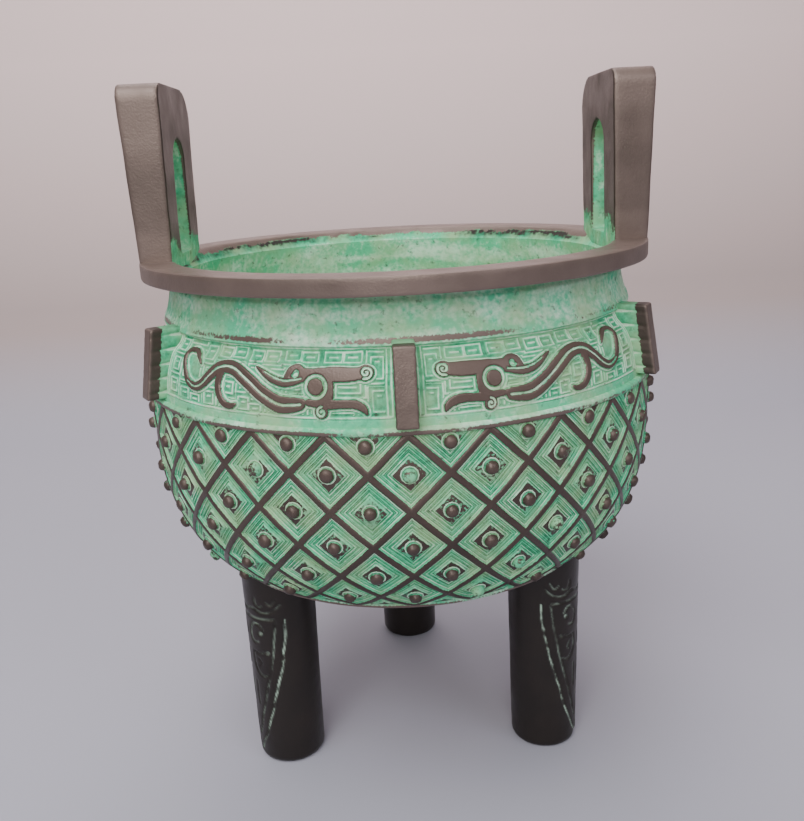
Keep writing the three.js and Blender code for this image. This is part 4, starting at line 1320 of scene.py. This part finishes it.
class DING_OT_stage(bpy.types.Operator):
    """Sets the floor with its backdrop, the soft light and the camera"""

    bl_idname = "ding.stage"
    bl_label = "Stage"

    def execute(self, context):
        self.floor()
        for softbox in SOFTBOXES:
            self.light(*softbox)
        world = bpy.data.worlds.new("Soft room")
        world.use_nodes = True
        background = world.node_tree.nodes["Background"]
        background.inputs["Color"].default_value = rgba(linear(ROOM_COLOUR))
        background.inputs["Strength"].default_value = ROOM_STRENGTH
        context.scene.world = world
        self.camera(context)
        return {"FINISHED"}

    def floor(self):
        """A sheet of paper that lies flat, bends up behind the vessel and stands."""
        front, depth, height, bend, width = -1.2, 0.75, 1.6, 0.35, 3.2
        section = [(0, front, 0), (0, depth - bend, 0)]
        section += [(0, depth - bend + y, bend + z) for y, z in arc(0, 0, bend, -90, 0, steps=16)]
        section.append((0, depth, height))
        piece = draw_line(section)
        bpy.ops.transform.translate(value=(-width / 2, 0, 0))
        open_mesh()
        bpy.ops.mesh.extrude_region_move(TRANSFORM_OT_translate={"value": (width, 0, 0)})
        bpy.ops.mesh.select_all(action="SELECT")
        bpy.ops.mesh.normals_make_consistent(inside=True)
        close_mesh()
        bpy.ops.object.transform_apply()
        bpy.ops.object.shade_smooth()
        piece.name = "floor"
        piece.data.materials.append(material_named("Seamless paper"))

    def light(self, name, where, target, size, power, hex_colour):
        light = bpy.data.lights.new(name, "AREA")
        light.shape = "DISK"
        light.size = size
        light.energy = power
        light.color = linear(hex_colour)
        lamp = bpy.data.objects.new(name, light)
        lamp.location = where
        aim = Vector(target) - Vector(where)
        lamp.rotation_euler = aim.to_track_quat("-Z", "Y").to_euler()
        bpy.context.collection.objects.link(lamp)

    def camera(self, context):
        heading, pitch, roll = (math.radians(angle) for angle in (VIEW_HEADING, VIEW_PITCH, VIEW_ROLL))
        aim = Vector((-math.sin(heading), math.cos(heading), 0))
        right = Vector((math.cos(heading), math.sin(heading), 0))
        forward = aim * math.cos(pitch) + Vector((0, 0, -math.sin(pitch)))
        up = right.cross(forward)
        across = right * math.cos(roll) + up * math.sin(roll)
        upward = up * math.cos(roll) - right * math.sin(roll)
        turn = Matrix.Rotation(math.radians(VIEW_TURN), 4, "Z")
        place = turn @ Vector((0, -VIEW_DISTANCE, VIEW_HEIGHT))
        turn = Matrix((across, upward, -forward)).transposed().to_4x4()
        lens = bpy.data.cameras.new("Photograph")
        lens.sensor_width = SENSOR
        lens.lens = VIEW_FOCUS * SENSOR / VIEW_PIXELS
        camera = bpy.data.objects.new("Photograph", lens)
        camera.matrix_world = Matrix.Translation(place) @ turn
        bpy.context.collection.objects.link(camera)
        context.scene.camera = camera


class DING_PT_panel(bpy.types.Panel):
    bl_label = "Bronze ding"
    bl_idname = "DING_PT_panel"
    bl_space_type = "VIEW_3D"
    bl_region_type = "UI"
    bl_category = "Ding"

    def draw(self, context):
        for kind in PIECES:
            self.layout.operator(kind.bl_idname)
        for group in ("ding_bowl", "ding_ornament", "ding_limbs", "ding_colours"):
            values = getattr(context.scene, group)
            box = self.layout.box()
            for key in values.__annotations__:
                box.prop(values, key)


PIECES = (
    DING_OT_bowl,
    DING_OT_lozenges,
    DING_OT_frieze,
    DING_OT_flanges,
    DING_OT_ears,
    DING_OT_legs,
    DING_OT_stage,
)
GROUPS = {
    "ding_bowl": DingBowlSizes,
    "ding_ornament": DingOrnamentSizes,
    "ding_limbs": DingLimbSizes,
    "ding_colours": DingColours,
}


def register():
    for kind in (*GROUPS.values(), *PIECES, DING_PT_panel):
        bpy.utils.register_class(kind)
    for key, kind in GROUPS.items():
        setattr(bpy.types.Scene, key, bpy.props.PointerProperty(type=kind))


def unregister():
    for key in GROUPS:
        delattr(bpy.types.Scene, key)
    for kind in (*GROUPS.values(), *PIECES, DING_PT_panel):
        bpy.utils.unregister_class(kind)


def corners(box):
    return [list(corner) for corner in box]


def main():
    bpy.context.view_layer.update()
    register()
    bpy.ops.ding.bowl()
    bpy.ops.ding.lozenges()
    bpy.ops.ding.frieze()
    bpy.ops.ding.flanges()
    bpy.ops.ding.ears()
    bpy.ops.ding.legs()
    bpy.ops.ding.stage()


if __name__ == "__main__":
    main()
